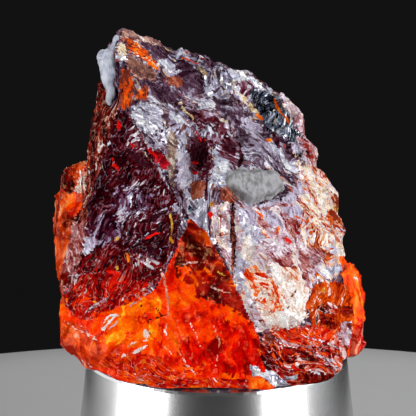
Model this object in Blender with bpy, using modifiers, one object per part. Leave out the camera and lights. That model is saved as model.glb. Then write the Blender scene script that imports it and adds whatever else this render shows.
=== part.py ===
"""A piece of gem sphalerite rough standing on a plain steel display pedestal.

The stone is one natural fragment: an off-centre spire with a shoulder to its right, a
proud pale block on its right front, a clear foot below and a lobe low on each side. Its
skin is stepped where cleavage flakes have come off, all on the crystal's one lattice. Two
growths of calcite sit in it, a smooth bead beside the tip and a matt patch on the front.

Lengths are in millimetres. In the tables of corners X is to the right, Y is to the back
and Z is the height above the pedestal's top. The origin is the centre of its foot.
"""

import math
import random

import bmesh
import bpy
from mathutils import Euler, Matrix, Vector
from mathutils.bvhtree import BVHTree

MM = 0.001

# The pedestal
PEDESTAL_HEIGHT = 24.0
PEDESTAL_TOP_RADIUS = 14.45
PEDESTAL_FLARE = math.radians(6.5)
PEDESTAL_EDGE = 0.6
PEDESTAL_SEGMENTS = 64

# The stone, whose main forms are convex blocks given by their corners
REST_GAP = 0.3
SPIRE = (
    (-10.3, 1.0, 36.3), (-10.8, 4.5, 35.0), (-12.5, 2.5, 33.2), (-13.2, 3.5, 29.5),
    (-14.8, 5.0, 21.4), (-5.7, 3.0, 34.4), (-2.4, 4.5, 32.5), (-0.6, 5.5, 31.2),
    (-10.1, -1.5, 33.0), (-10.6, -3.2, 28.0), (-7.8, -5.2, 24.0), (-4.5, -8.2, 18.5),
    (-2.7, -9.4, 17.2), (-12.3, -2.5, 22.3), (-14.3, -4.2, 17.6), (-16.0, -6.2, 9.3),
    (-7.5, -10.6, 9.5), (-13.0, -6.0, 4.0), (-13.0, 8.0, 4.0), (6.0, 9.0, 4.0),
    (6.0, -6.0, 4.0), (0.5, 9.0, 24.0), (-9.0, 10.0, 26.0),
)
SHOULDER = (
    (-1.8, 3.5, 31.2), (2.9, 5.0, 30.9), (5.0, 5.0, 29.1), (7.3, 4.5, 28.5),
    (8.7, 4.2, 27.6), (9.8, 4.0, 24.6), (8.0, -1.5, 21.0), (-4.5, -4.0, 25.0),
    (-2.5, -8.5, 18.0), (1.0, 10.0, 27.0), (8.0, 9.5, 24.0), (4.0, 8.0, 8.0),
)
RIGHT_WALL = (
    (8.6, 4.0, 24.2), (11.7, 3.5, 20.2), (13.7, 3.0, 17.3), (14.3, 2.5, 10.5),
    (13.2, 1.0, 2.0), (2.0, -8.0, 18.0), (7.5, 9.5, 22.0), (12.0, 8.5, 15.0),
    (12.0, 8.5, 3.0), (3.0, -6.0, 3.0), (0.0, 6.0, 12.0),
)
PALE_BLOCK = (
    (-2.7, -9.8, 17.2), (3.9, -14.7, 6.9), (6.1, -14.4, 6.8), (8.8, -12.7, 7.0),
    (9.9, -10.6, 8.9), (11.3, -8.0, 10.4), (14.0, -3.0, 10.0), (14.2, 1.0, 15.5),
    (1.5, -10.2, 19.1), (-1.9, -4.4, 26.0), (8.5, 2.0, 24.0), (12.6, 2.6, 18.0),
    (2.0, -4.0, 8.0), (10.0, 2.0, 9.0),
)
CLEAR_FOOT = (
    (-17.2, -5.0, 2.3), (-17.5, -4.0, 4.8), (-16.6, -4.5, 7.2), (-14.3, -8.5, 0.9),
    (-10.9, -12.3, 0.5), (-5.5, -15.2, 0.3), (-0.3, -16.6, 0.1), (3.4, -16.3, 0.3),
    (6.1, -15.7, 0.1), (-7.2, -11.3, 9.5), (-12.5, -12.0, 5.6), (-3.0, -8.8, 16.0),
    (3.6, -13.4, 6.5), (-15.0, 6.0, 0.4), (8.0, 8.0, -0.4), (-15.0, 5.0, 8.0),
    (8.0, 0.0, 8.0), (-12.0, 2.0, -0.3), (5.0, -9.0, -0.5), (-7.0, -11.0, -0.3),
)
RIGHT_LOBE = (
    (15.2, 0.0, 10.4), (16.7, 1.0, 6.9), (16.8, 0.0, 3.7), (15.8, -2.0, 0.9),
    (12.9, -7.4, 0.4), (8.9, -12.0, 0.2), (11.0, -9.6, 5.6), (7.7, -13.2, 4.2),
    (5.0, -15.0, 3.0), (10.6, -8.6, 9.6), (14.0, 7.0, 8.0), (13.0, 7.5, 0.5),
    (4.0, 4.0, -0.3), (5.0, -6.0, 8.0),
)
LEFT_LOBE = (
    (-16.7, 6.0, 20.3), (-17.8, 7.0, 19.0), (-18.7, 8.0, 13.8), (-18.2, 6.0, 7.9),
    (-18.0, 4.0, 6.1), (-17.0, 2.0, 5.5), (-14.6, 6.0, 21.1), (-16.0, 11.0, 12.0),
    (-14.0, 10.5, 18.0), (-13.0, 1.0, 5.0), (-13.0, 10.0, 5.0), (-12.0, 2.0, 16.0),
)
BACK = (
    (-9.0, 10.8, 27.5), (-3.0, 9.0, 30.5), (3.0, 10.5, 26.0), (9.0, 10.0, 19.0),
    (11.5, 9.5, 9.0), (11.0, 8.5, 0.8), (-12.0, 9.5, 0.8), (-15.0, 9.5, 12.0),
    (0.0, 12.6, 14.0), (-5.0, 12.2, 6.0), (4.0, 11.4, 3.0), (-11.0, 2.0, 22.0),
    (8.0, 2.0, 16.0), (-8.0, 0.0, 3.0), (7.0, 0.0, 3.0),
)
EXTRA_BLOCKS = (SHOULDER, RIGHT_WALL, PALE_BLOCK, CLEAR_FOOT, RIGHT_LOBE, LEFT_LOBE, BACK)

# Conchoidal hollows, each a ball that bites into the stone: centre and radius
HOLLOWS = (
    ((-19.0, -27.5, 20.0), 22.0),
    ((-1.5, -42.0, 18.0), 32.4),
    ((6.8, 1.6, 33.6), 5.2),
    ((5.9, 1.0, 28.0), 3.3),
    ((-22.5, -9.0, 27.0), 10.6),
    ((-2.0, 33.0, 24.0), 23.5),
    ((24.0, 18.0, 22.0), 16.5),
)

# Cleavage spalls: flakes gone from the skin, whose sides follow the crystal's one lattice
LATTICE = Euler((math.radians(24), math.radians(-17), math.radians(38)))
SPALL_COUNT = 230
SPALL_RADII = (1.0, 4.0)
SPALL_DEPTHS = (0.05, 0.2)
SPALL_SIDES = (0.45, 1.35)
SPALL_LEAN = (0.1, 0.45)
SPALL_STANDOFF = 0.5
SPALL_SHARE_OF_THICKNESS = 0.28
SPALL_SEED = 8
AIM_LINE = ((-3.0, 1.0, 3.0), (-2.0, 1.0, 27.0))
RAY_START = 60.0

# Down the middle of the front the flakes are tall and narrow, which leaves upright ribs.
# The band gives two opposite corners, well in front of the stone
RIB_BAND = ((-4.5, -30.0, 15.5), (2.8, -30.0, 25.5))
RIB_COUNT = 22
RIB_RADIUS = 2.2
RIB_SLANT = (0.08, 0.0, 1.0)
RIB_WIDTHS = (0.19, 0.48)
RIB_LENGTHS = (0.95, 2.5)

# The calcite growths. The bead tapers through these stations: centre and radius
BEAD_STATIONS = (
    ((-11.4, 0.5, 34.0), 0.70),
    ((-11.9, 0.2, 32.7), 1.20),
    ((-11.7, -0.5, 31.2), 1.05),
    ((-11.5, -1.0, 29.7), 0.62),
    ((-11.7, -1.3, 27.8), 0.38),
)
BEAD_STEPS = 4
BEAD_VOXEL = 0.36
PATCH_CENTRE = (4.6, -6.6, 20.7)
PATCH_HALF_SIZES = (3.3, 2.05, 0.75)
PATCH_NORMAL = (0.42, -0.80, 0.43)
PATCH_ROLL = math.radians(-6)
PATCH_SQUARENESS = 0.6
PATCH_WAVES = ((2, 0.10, 0.6), (3, 0.07, 2.1), (5, 0.05, 0.9))
PATCH_SEGMENTS = 28
PATCH_RINGS = 10
POCKET_GAP = 0.3

STONE_COLOUR = (0.42, 0.05, 0.02, 1.0)
CALCITE_COLOUR = (0.72, 0.73, 0.72, 1.0)
BEAD_COLOUR = (0.66, 0.70, 0.76, 1.0)
STEEL_COLOUR = (0.62, 0.62, 0.62, 1.0)


def clear_scene():
    for obj in list(bpy.data.objects):
        bpy.data.objects.remove(obj)


def new_collection(name):
    collection = bpy.data.collections.new(name)
    bpy.context.scene.collection.children.link(collection)
    return collection


def material(name, colour, roughness, metallic=0.0):
    made = bpy.data.materials.new(name)
    made.use_nodes = True
    shader = made.node_tree.nodes["Principled BSDF"]
    shader.inputs["Base Color"].default_value = colour
    shader.inputs["Roughness"].default_value = roughness
    shader.inputs["Metallic"].default_value = metallic
    return made


def mesh_object(name, bm, collection):
    mesh = bpy.data.meshes.new(name)
    bm.to_mesh(mesh)
    bm.free()
    obj = bpy.data.objects.new(name, mesh)
    collection.objects.link(obj)
    return obj


def helper(obj):
    """Marks a cutter or a joined shape, which isn't a piece of the object."""
    obj.hide_render = True
    obj.display_type = "WIRE"
    return obj


def above_pedestal(point):
    """A corner's place in the object's own frame, in metres."""
    return Vector((point[0], point[1], point[2] + PEDESTAL_HEIGHT)) * MM


def add_hull(bm, points):
    """Adds the convex solid on these points to a mesh under construction."""
    verts = [bm.verts.new(point) for point in points]
    hull = bmesh.ops.convex_hull(bm, input=verts)
    bmesh.ops.delete(bm, geom=list(set(hull["geom_interior"])), context="VERTS")


def convex_block(name, corners, collection):
    bm = bmesh.new()
    add_hull(bm, [above_pedestal(corner) for corner in corners])
    bmesh.ops.recalc_face_normals(bm, faces=bm.faces)
    return mesh_object(name, bm, collection)


def ball(name, centre, radius, collection, segments=32):
    bm = bmesh.new()
    bmesh.ops.create_uvsphere(
        bm, u_segments=segments, v_segments=segments // 2, radius=radius * MM,
        matrix=Matrix.Translation(above_pedestal(centre)),
    )
    return mesh_object(name, bm, collection)


def boolean(obj, other, operation, use_self=False):
    modifier = obj.modifiers.new(f"{operation.title()} {other.name}", "BOOLEAN")
    modifier.object = other
    modifier.operation = operation
    modifier.solver = "EXACT"
    modifier.use_self = use_self


def apply_modifiers(obj):
    """Turns an object's modifiers into plain mesh, so that later steps can read it."""
    graph = bpy.context.evaluated_depsgraph_get()
    mesh = bpy.data.meshes.new_from_object(obj.evaluated_get(graph))
    obj.modifiers.clear()
    obj.data = mesh


def build_pedestal(collection):
    """A turned, slightly flared steel pedestal with eased edges."""
    foot_radius = PEDESTAL_TOP_RADIUS + PEDESTAL_HEIGHT * math.tan(PEDESTAL_FLARE)
    outline = (
        (0.0, PEDESTAL_HEIGHT),
        (PEDESTAL_TOP_RADIUS, PEDESTAL_HEIGHT),
        (foot_radius, 0.0),
        (0.0, 0.0),
    )
    bm = bmesh.new()
    verts = [bm.verts.new((x * MM, 0.0, z * MM)) for x, z in outline]
    for start, end in zip(verts, verts[1:]):
        bm.edges.new((start, end))
    obj = mesh_object("pedestal", bm, collection)
    screw = obj.modifiers.new("Turn", "SCREW")
    screw.axis = "Z"
    screw.steps = screw.render_steps = PEDESTAL_SEGMENTS
    screw.use_merge_vertices = True
    screw.merge_threshold = 0.00001
    bevel = obj.modifiers.new("Eased edges", "BEVEL")
    bevel.width = PEDESTAL_EDGE * MM
    bevel.segments = 3
    bevel.angle_limit = math.radians(40)
    apply_modifiers(obj)
    obj.data.shade_smooth()
    obj.data.set_sharp_from_angle(angle=math.radians(50))
    obj.data.materials.clear()
    obj.data.materials.append(material("steel", STEEL_COLOUR, 0.3, 1.0))
    return obj


def skin_points(tree, count):
    """Even places on the stone's skin, with the way out and the thickness behind each."""
    low, high = (above_pedestal(point) for point in AIM_LINE)
    golden_angle = math.pi * (3.0 - math.sqrt(5.0))
    for i in range(count):
        height = 1.0 - 2.0 * (i + 0.5) / count
        ring = math.sqrt(1.0 - height * height)
        turn = golden_angle * i
        outward = Vector((ring * math.cos(turn), ring * math.sin(turn), height))
        target = low.lerp(high, (height + 1.0) / 2.0)
        place, normal, _, _ = tree.ray_cast(target + outward * RAY_START * MM, -outward)
        if place is None:
            continue
        _, _, _, thickness = tree.ray_cast(place - normal * 0.1 * MM, -normal)
        yield place, normal, thickness or 0.0


def rib_points(tree, rng):
    """Random places in the upright rib band, found by rays from the front."""
    low, high = (above_pedestal(point) for point in RIB_BAND)
    for _ in range(RIB_COUNT):
        start = Vector((rng.uniform(low.x, high.x), low.y, rng.uniform(low.z, high.z)))
        place, normal, _, _ = tree.ray_cast(start, Vector((0.0, 1.0, 0.0)))
        yield place, normal


def cleavage_planes():
    """The six directions of sphalerite's perfect cleavage, on the crystal's own axes."""
    for axis in range(3):
        for sign in (-1.0, 1.0):
            plane = Vector((1.0, 1.0, 1.0))
            plane[axis] = 0.0
            plane[(axis + 1) % 3] = sign
            yield plane.normalized()


def slice_off(bm, point, normal):
    """Removes what lies beyond a plane, and closes the cut."""
    cut = bmesh.ops.bisect_plane(
        bm, geom=bm.verts[:] + bm.edges[:] + bm.faces[:],
        plane_co=point, plane_no=normal, clear_outer=True,
    )
    rim = [item for item in cut["geom_cut"] if isinstance(item, bmesh.types.BMEdge)]
    bmesh.ops.holes_fill(bm, edges=rim, sides=0)


def nearest_cleavage(normal, planes):
    """The cleavage direction, either way round, that is nearest to a face's own."""
    best = max(planes, key=lambda plane: abs(plane.dot(normal)))
    return best if best.dot(normal) > 0.0 else -best


def spall(place, normal, radius, planes, rng):
    """One flake gone from the skin: a block with uneven widths on the lattice."""
    middle = place + normal * radius * SPALL_STANDOFF
    block = bmesh.new()
    bmesh.ops.create_cube(block, size=6.0 * radius, matrix=Matrix.Translation(middle))
    for plane in planes:
        for side in (plane, -plane):
            slice_off(block, middle + side * radius * rng.uniform(*SPALL_SIDES), side)
    depth = radius * rng.uniform(*SPALL_DEPTHS)
    floor = normal.lerp(nearest_cleavage(normal, planes), rng.uniform(*SPALL_LEAN))
    slice_off(block, place - normal * depth, -floor)
    return block


def rib_spall(place, normal, rng):
    """One flake gone from the rib band: a narrow upright slab."""
    up = Vector(RIB_SLANT).normalized()
    across = up.cross(normal).normalized()
    sizes = (rng.uniform(*RIB_WIDTHS), rng.uniform(*RIB_LENGTHS), 1.0)
    frame = Matrix((across, normal.cross(across), normal)).transposed().to_4x4()
    block = bmesh.new()
    bmesh.ops.create_cube(
        block, size=2.0 * RIB_RADIUS * MM,
        matrix=Matrix.Translation(place) @ frame @ Matrix.Diagonal((*sizes, 1.0)),
    )
    depth = RIB_RADIUS * rng.uniform(*SPALL_DEPTHS) * MM
    floor = normal + across * rng.uniform(-SPALL_LEAN[1], SPALL_LEAN[1])
    slice_off(block, place - normal * depth, -floor.normalized())
    return block


def build_spalls(stone, collection):
    """One joined cutter with the flakes that have come off the stone's skin.

    The flakes are mostly small with a few large ones. The floor of each leans from the face
    towards the nearest cleavage plane, so the faces come out stepped on one lattice.
    """
    rng = random.Random(SPALL_SEED)
    planes = [LATTICE.to_matrix() @ plane for plane in cleavage_planes()]
    small, large = SPALL_RADII
    skin = bmesh.new()
    skin.from_mesh(stone.data)
    tree = BVHTree.FromBMesh(skin)
    skin.free()
    blocks = [rib_spall(place, normal, rng) for place, normal in rib_points(tree, rng)]
    for place, normal, thickness in skin_points(tree, SPALL_COUNT):
        radius = (small + (large - small) * rng.random() ** 2) * MM
        radius = min(radius, thickness * SPALL_SHARE_OF_THICKNESS)
        blocks.append(spall(place, normal, radius, planes, rng))
    spalls = bmesh.new()
    for one in blocks:
        made = bpy.data.meshes.new("spall")
        one.to_mesh(made)
        one.free()
        spalls.from_mesh(made)
        bpy.data.meshes.remove(made)
    bmesh.ops.recalc_face_normals(spalls, faces=spalls.faces)
    return helper(mesh_object("spalls", spalls, collection))


def close_cavities(obj):
    """Keeps the outer skin alone, so that a gap closed in between blocks is solid."""
    bm = bmesh.new()
    bm.from_mesh(obj.data)
    left, skins = set(bm.verts), []
    while left:
        skin, edge_of_search = set(), [left.pop()]
        while edge_of_search:
            vert = edge_of_search.pop()
            skin.add(vert)
            near = {edge.other_vert(vert) for edge in vert.link_edges} & left
            left -= near
            edge_of_search.extend(near)
        skins.append(skin)
    skins.sort(key=len)
    inner = [vert for skin in skins[:-1] for vert in skin]
    bmesh.ops.delete(bm, geom=inner, context="VERTS")
    bm.to_mesh(obj.data)
    bm.free()


def cut_flat_below(obj, height):
    """Slices off what lies below a height above the pedestal."""
    bm = bmesh.new()
    bm.from_mesh(obj.data)
    slice_off(bm, above_pedestal((0.0, 0.0, height)), Vector((0.0, 0.0, -1.0)))
    bm.to_mesh(obj.data)
    bm.free()


def build_stone(collection, helpers):
    """The sphalerite: blocks joined, hollows and flakes taken away, and a flat underside."""
    stone = convex_block("sphalerite", SPIRE, collection)
    for number, corners in enumerate(EXTRA_BLOCKS):
        other = helper(convex_block(f"block {number}", corners, helpers))
        boolean(stone, other, "UNION")
    for number, (centre, radius) in enumerate(HOLLOWS):
        hollow = helper(ball(f"hollow {number}", centre, radius, helpers))
        boolean(stone, hollow, "DIFFERENCE")
    apply_modifiers(stone)
    boolean(stone, build_spalls(stone, helpers), "DIFFERENCE", use_self=True)
    apply_modifiers(stone)
    cut_flat_below(stone, REST_GAP)
    stone.data.materials.clear()
    stone.data.materials.append(material("sphalerite", STONE_COLOUR, 0.15))
    return stone


def build_bead(name, grow, collection):
    """The smooth calcite bead, a row of balls melted together, thicker all round by grow."""
    bm = bmesh.new()
    for (start, first), (end, last) in zip(BEAD_STATIONS, BEAD_STATIONS[1:]):
        for step in range(BEAD_STEPS):
            share = step / BEAD_STEPS
            centre = above_pedestal(start).lerp(above_pedestal(end), share)
            radius = first + (last - first) * share + grow
            bmesh.ops.create_icosphere(
                bm, subdivisions=2, radius=radius * MM, matrix=Matrix.Translation(centre),
            )
    bead = mesh_object(name, bm, collection)
    remesh = bead.modifiers.new("Melt together", "REMESH")
    remesh.mode = "VOXEL"
    remesh.voxel_size = BEAD_VOXEL * MM
    smooth = bead.modifiers.new("Soften", "SMOOTH")
    smooth.iterations = 4
    apply_modifiers(bead)
    return bead


def flattened(value):
    """A sine or cosine drawn out towards one, which squares up a round outline."""
    return math.copysign(abs(value) ** PATCH_SQUARENESS, value)


def build_patch(name, grow, collection):
    """The matt calcite patch, an uneven flattened lump let into the stone's front."""
    across, along, deep = ((half + grow) * MM for half in PATCH_HALF_SIZES)
    bm = bmesh.new()
    rings = []
    for i in range(1, PATCH_RINGS):
        tilt = math.pi * i / PATCH_RINGS
        ring = []
        for j in range(PATCH_SEGMENTS):
            turn = math.tau * j / PATCH_SEGMENTS
            swell = 1.0 + sum(
                size * math.sin(count * turn + start) for count, size, start in PATCH_WAVES
            )
            out = flattened(math.sin(tilt)) * swell
            ring.append(bm.verts.new((
                across * out * math.cos(turn), along * out * math.sin(turn), deep * math.cos(tilt),
            )))
        rings.append(ring)
    top, bottom = bm.verts.new((0.0, 0.0, deep)), bm.verts.new((0.0, 0.0, -deep))
    for j in range(PATCH_SEGMENTS):
        after = (j + 1) % PATCH_SEGMENTS
        bm.faces.new((top, rings[0][j], rings[0][after]))
        bm.faces.new((bottom, rings[-1][after], rings[-1][j]))
        for upper, lower in zip(rings, rings[1:]):
            bm.faces.new((upper[j], lower[j], lower[after], upper[after]))
    normal = Vector(PATCH_NORMAL).normalized()
    turn = normal.to_track_quat("Z", "Y").to_matrix().to_4x4()
    place = Matrix.Translation(above_pedestal(PATCH_CENTRE))
    bmesh.ops.transform(
        bm, matrix=place @ turn @ Matrix.Rotation(PATCH_ROLL, 4, "Z"), verts=bm.verts,
    )
    return mesh_object(name, bm, collection)


def set_in_pocket(stone, build, name, colour, collection, helpers):
    """Makes a growth and cuts the pocket that it sits in."""
    growth = build(name, 0.0, collection)
    growth.data.materials.clear()
    growth.data.materials.append(material(name, colour, 0.5))
    growth.data.shade_smooth()
    boolean(stone, helper(build(f"{name} pocket", POCKET_GAP, helpers)), "DIFFERENCE")


def main():
    clear_scene()
    collection = new_collection("Sphalerite on a pedestal")
    helpers = new_collection("Helpers")
    build_pedestal(collection)
    stone = build_stone(collection, helpers)
    set_in_pocket(stone, build_bead, "calcite_bead", BEAD_COLOUR, collection, helpers)
    set_in_pocket(stone, build_patch, "calcite_patch", CALCITE_COLOUR, collection, helpers)
    apply_modifiers(stone)
    close_cavities(stone)


main()
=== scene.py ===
"""The looks of a piece of gem sphalerite rough on its steel display pedestal.

The stone's solid is remeshed finely and broken up into cleavage facets that lie on the
crystal's own lattice. Its colours are laid down in areas and strokes, each an outline or a
path in the frontal view's own 416-pixel frame, or a ball in the stone for the sides that this
view doesn't show. Each has a small palette, and fine flakes of the surface pick from it. Some
of them paint light: glints and reflections of cleavage faces, shaded and lit bands of the
wine face, and the glow of the clear foot.
"""

import math
from collections import namedtuple

import bmesh
import bpy
import numpy as np
from mathutils import Euler, Matrix, Vector, noise
from mathutils.kdtree import KDTree


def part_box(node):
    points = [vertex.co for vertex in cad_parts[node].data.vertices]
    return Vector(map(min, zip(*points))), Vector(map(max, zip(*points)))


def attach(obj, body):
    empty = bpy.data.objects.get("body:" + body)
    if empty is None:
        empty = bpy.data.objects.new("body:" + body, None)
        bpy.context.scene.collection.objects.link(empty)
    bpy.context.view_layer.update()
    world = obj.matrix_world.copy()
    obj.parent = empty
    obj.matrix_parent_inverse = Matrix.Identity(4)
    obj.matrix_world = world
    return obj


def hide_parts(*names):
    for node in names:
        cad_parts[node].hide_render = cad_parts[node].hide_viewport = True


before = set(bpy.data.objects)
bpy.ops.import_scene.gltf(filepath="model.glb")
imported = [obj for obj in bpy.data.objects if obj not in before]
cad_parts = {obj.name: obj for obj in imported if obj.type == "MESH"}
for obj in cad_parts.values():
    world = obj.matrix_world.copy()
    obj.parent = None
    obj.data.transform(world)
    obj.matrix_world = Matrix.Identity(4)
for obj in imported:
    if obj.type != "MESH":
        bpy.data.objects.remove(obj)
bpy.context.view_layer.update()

MM = 0.001
PEDESTAL_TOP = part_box("pedestal")[1].z / MM

# The frontal view: where the camera looks, from how far and how steeply, in millimetres
VIEW_WIDTH = 416
MM_PER_PIXEL = 0.11
AIM = Vector((-1.0, 0.0, PEDESTAL_TOP + 16.5))
CAMERA_DISTANCE = 280.0
CAMERA_ELEVATION = math.radians(13)
SENSOR_WIDTH = 36.0
# The nearest and the farthest that it sees, in metres
CLIP_START = 0.01
CLIP_END = 20.0

# The crystal's lattice, turned as it lies in the stone
LATTICE = Euler((math.radians(24), math.radians(-17), math.radians(38)))

# The lamps: azimuth from the front towards the right and elevation in degrees; distance, width
# and height in metres; and power in watts
LIGHTS = {
    "left softbox": (-66, -4, 0.36, 0.24, 0.20, 1.2),
    "left wing": (-112, 4, 0.36, 0.30, 0.20, 0.18),
    "right softbox": (58, 4, 0.36, 0.20, 0.22, 1.1),
    "right wing": (98, 8, 0.36, 0.30, 0.20, 0.32),
    "top softbox": (10, 68, 0.34, 0.34, 0.30, 0.9),
    "back light": (172, 30, 0.40, 0.24, 0.16, 0.6),
}
LIGHT_TARGET = Vector((0.0, 0.0, 0.038))
WORLD_GREY = 0.006

# The table top that the pedestal stands on, in metres
FLOOR_RADIUS = 0.13
FLOOR_ROUNDING = 0.05
FLOOR_THICKNESS = 2.2 * FLOOR_ROUNDING
FLOOR_SIDES = 128
FLOOR_ROUNDING_STEPS = 16
FLOOR_EDGE_ANGLE = math.radians(60)
FLOOR_LIGHT = (0.30, 0.30, 0.305, 1.0)
FLOOR_DARK = (0.282, 0.282, 0.2867, 1.0)
FLOOR_MOTTLE = (60.0, 4.0)
FLOOR_ROUGHNESS = 0.55


def view_axes():
    """The frontal view's right, up and towards-the-camera directions."""
    towards = Vector((0.0, -math.cos(CAMERA_ELEVATION), math.sin(CAMERA_ELEVATION)))
    right = Vector((1.0, 0.0, 0.0))
    return right, towards.cross(right), towards


def add_camera():
    right, up, towards = view_axes()
    data = bpy.data.cameras.new("camera")
    data.sensor_width = SENSOR_WIDTH
    data.lens = SENSOR_WIDTH * CAMERA_DISTANCE / (VIEW_WIDTH * MM_PER_PIXEL)
    data.clip_start = CLIP_START
    data.clip_end = CLIP_END
    camera = bpy.data.objects.new("camera", data)
    turn = Matrix((right, up, towards)).transposed().to_4x4()
    camera.matrix_world = Matrix.Translation((AIM + towards * CAMERA_DISTANCE) * MM) @ turn
    bpy.context.scene.collection.objects.link(camera)
    bpy.context.scene.camera = camera


def add_lights():
    for name, (azimuth, elevation, distance, width, height, power) in LIGHTS.items():
        turn, rise = math.radians(azimuth), math.radians(elevation)
        out = Vector((
            math.sin(turn) * math.cos(rise),
            -math.cos(turn) * math.cos(rise),
            math.sin(rise),
        ))
        data = bpy.data.lights.new(name, "AREA")
        data.shape = "RECTANGLE"
        data.size = width
        data.size_y = height
        data.energy = power
        lamp = bpy.data.objects.new(name, data)
        lamp.location = LIGHT_TARGET + out * distance
        lamp.rotation_euler = out.to_track_quat("Z", "Y").to_euler()
        bpy.context.scene.collection.objects.link(lamp)
    world = bpy.data.worlds.new("dim studio")
    world.use_nodes = True
    world.node_tree.nodes["Background"].inputs["Color"].default_value = (*[WORLD_GREY] * 3, 1.0)
    bpy.context.scene.world = world


class Nodes:
    """A short way to write a material's node tree."""

    # A mix node's two inputs and its output, for each kind of value
    MIX_SOCKETS = {"RGBA": (6, 7, 2), "FLOAT": (2, 3, 0), "VECTOR": (4, 5, 1)}

    def __init__(self, name):
        self.material = bpy.data.materials.new(name)
        self.material.use_nodes = True
        self.tree = self.material.node_tree
        self.shader = self.tree.nodes["Principled BSDF"]

    def add(self, kind, inputs=None, **settings):
        node = self.tree.nodes.new(kind)
        for key, value in settings.items():
            setattr(node, key, value)
        for key, value in (inputs or {}).items():
            self.feed(node.inputs[key], value)
        return node

    def feed(self, socket, value):
        if isinstance(value, bpy.types.NodeSocket):
            self.tree.links.new(value, socket)
        else:
            socket.default_value = value

    def math(self, operation, *values, clamp=False):
        node = self.add("ShaderNodeMath", operation=operation, use_clamp=clamp)
        for socket, value in zip(node.inputs, values):
            self.feed(socket, value)
        return node.outputs[0]

    def vector(self, operation, *values):
        node = self.add("ShaderNodeVectorMath", operation=operation)
        for socket, value in zip(node.inputs, values):
            self.feed(socket, value)
        return node.outputs["Vector"]

    def scaled(self, vector, factor):
        longer = self.vector("SCALE", vector)
        self.feed(longer.node.inputs["Scale"], factor)
        return longer

    def place(self):
        """Where a point lies in its object, in millimetres."""
        return self.scaled(self.add("ShaderNodeTexCoord").outputs["Object"], 1.0 / MM)

    def step(self, value, low, high):
        """Nought below low, one above high, and a smooth rise in between."""
        node = self.add("ShaderNodeMapRange", interpolation_type="SMOOTHSTEP", inputs={
            "Value": value, "From Min": low, "From Max": high,
        })
        return node.outputs[0]

    def mix(self, kind, share, first, second):
        node = self.add("ShaderNodeMix", data_type=kind)
        first_socket, second_socket, result = self.MIX_SOCKETS[kind]
        for socket, value in ((0, share), (first_socket, first), (second_socket, second)):
            self.feed(node.inputs[socket], value)
        return node.outputs[result]

    def attribute(self, name):
        return self.add("ShaderNodeAttribute", attribute_name=name).outputs["Fac"]

    def noise(self, vector, scale, detail, roughness=0.5, output="Fac"):
        return self.add("ShaderNodeTexNoise", inputs={
            "Vector": vector, "Scale": scale, "Detail": detail, "Roughness": roughness,
        }).outputs[output]

    def cells(self, vector, scale, feature="F1"):
        return self.add("ShaderNodeTexVoronoi", feature=feature, inputs={
            "Vector": vector, "Scale": scale,
        })

    def channel(self, colour, number):
        return self.add("ShaderNodeSeparateColor", inputs={"Color": colour}).outputs[number]

    def bump(self, height, distance):
        return self.add("ShaderNodeBump", inputs={"Height": height, "Distance": distance}).outputs[0]


def linear(colour):
    """A colour given as 0 to 255 on a screen, as a shader wants it."""
    shares = [value / 255.0 for value in colour]
    return tuple(
        share / 12.92 if share <= 0.04045 else ((share + 0.055) / 1.055) ** 2.4 for share in shares
    )
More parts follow.
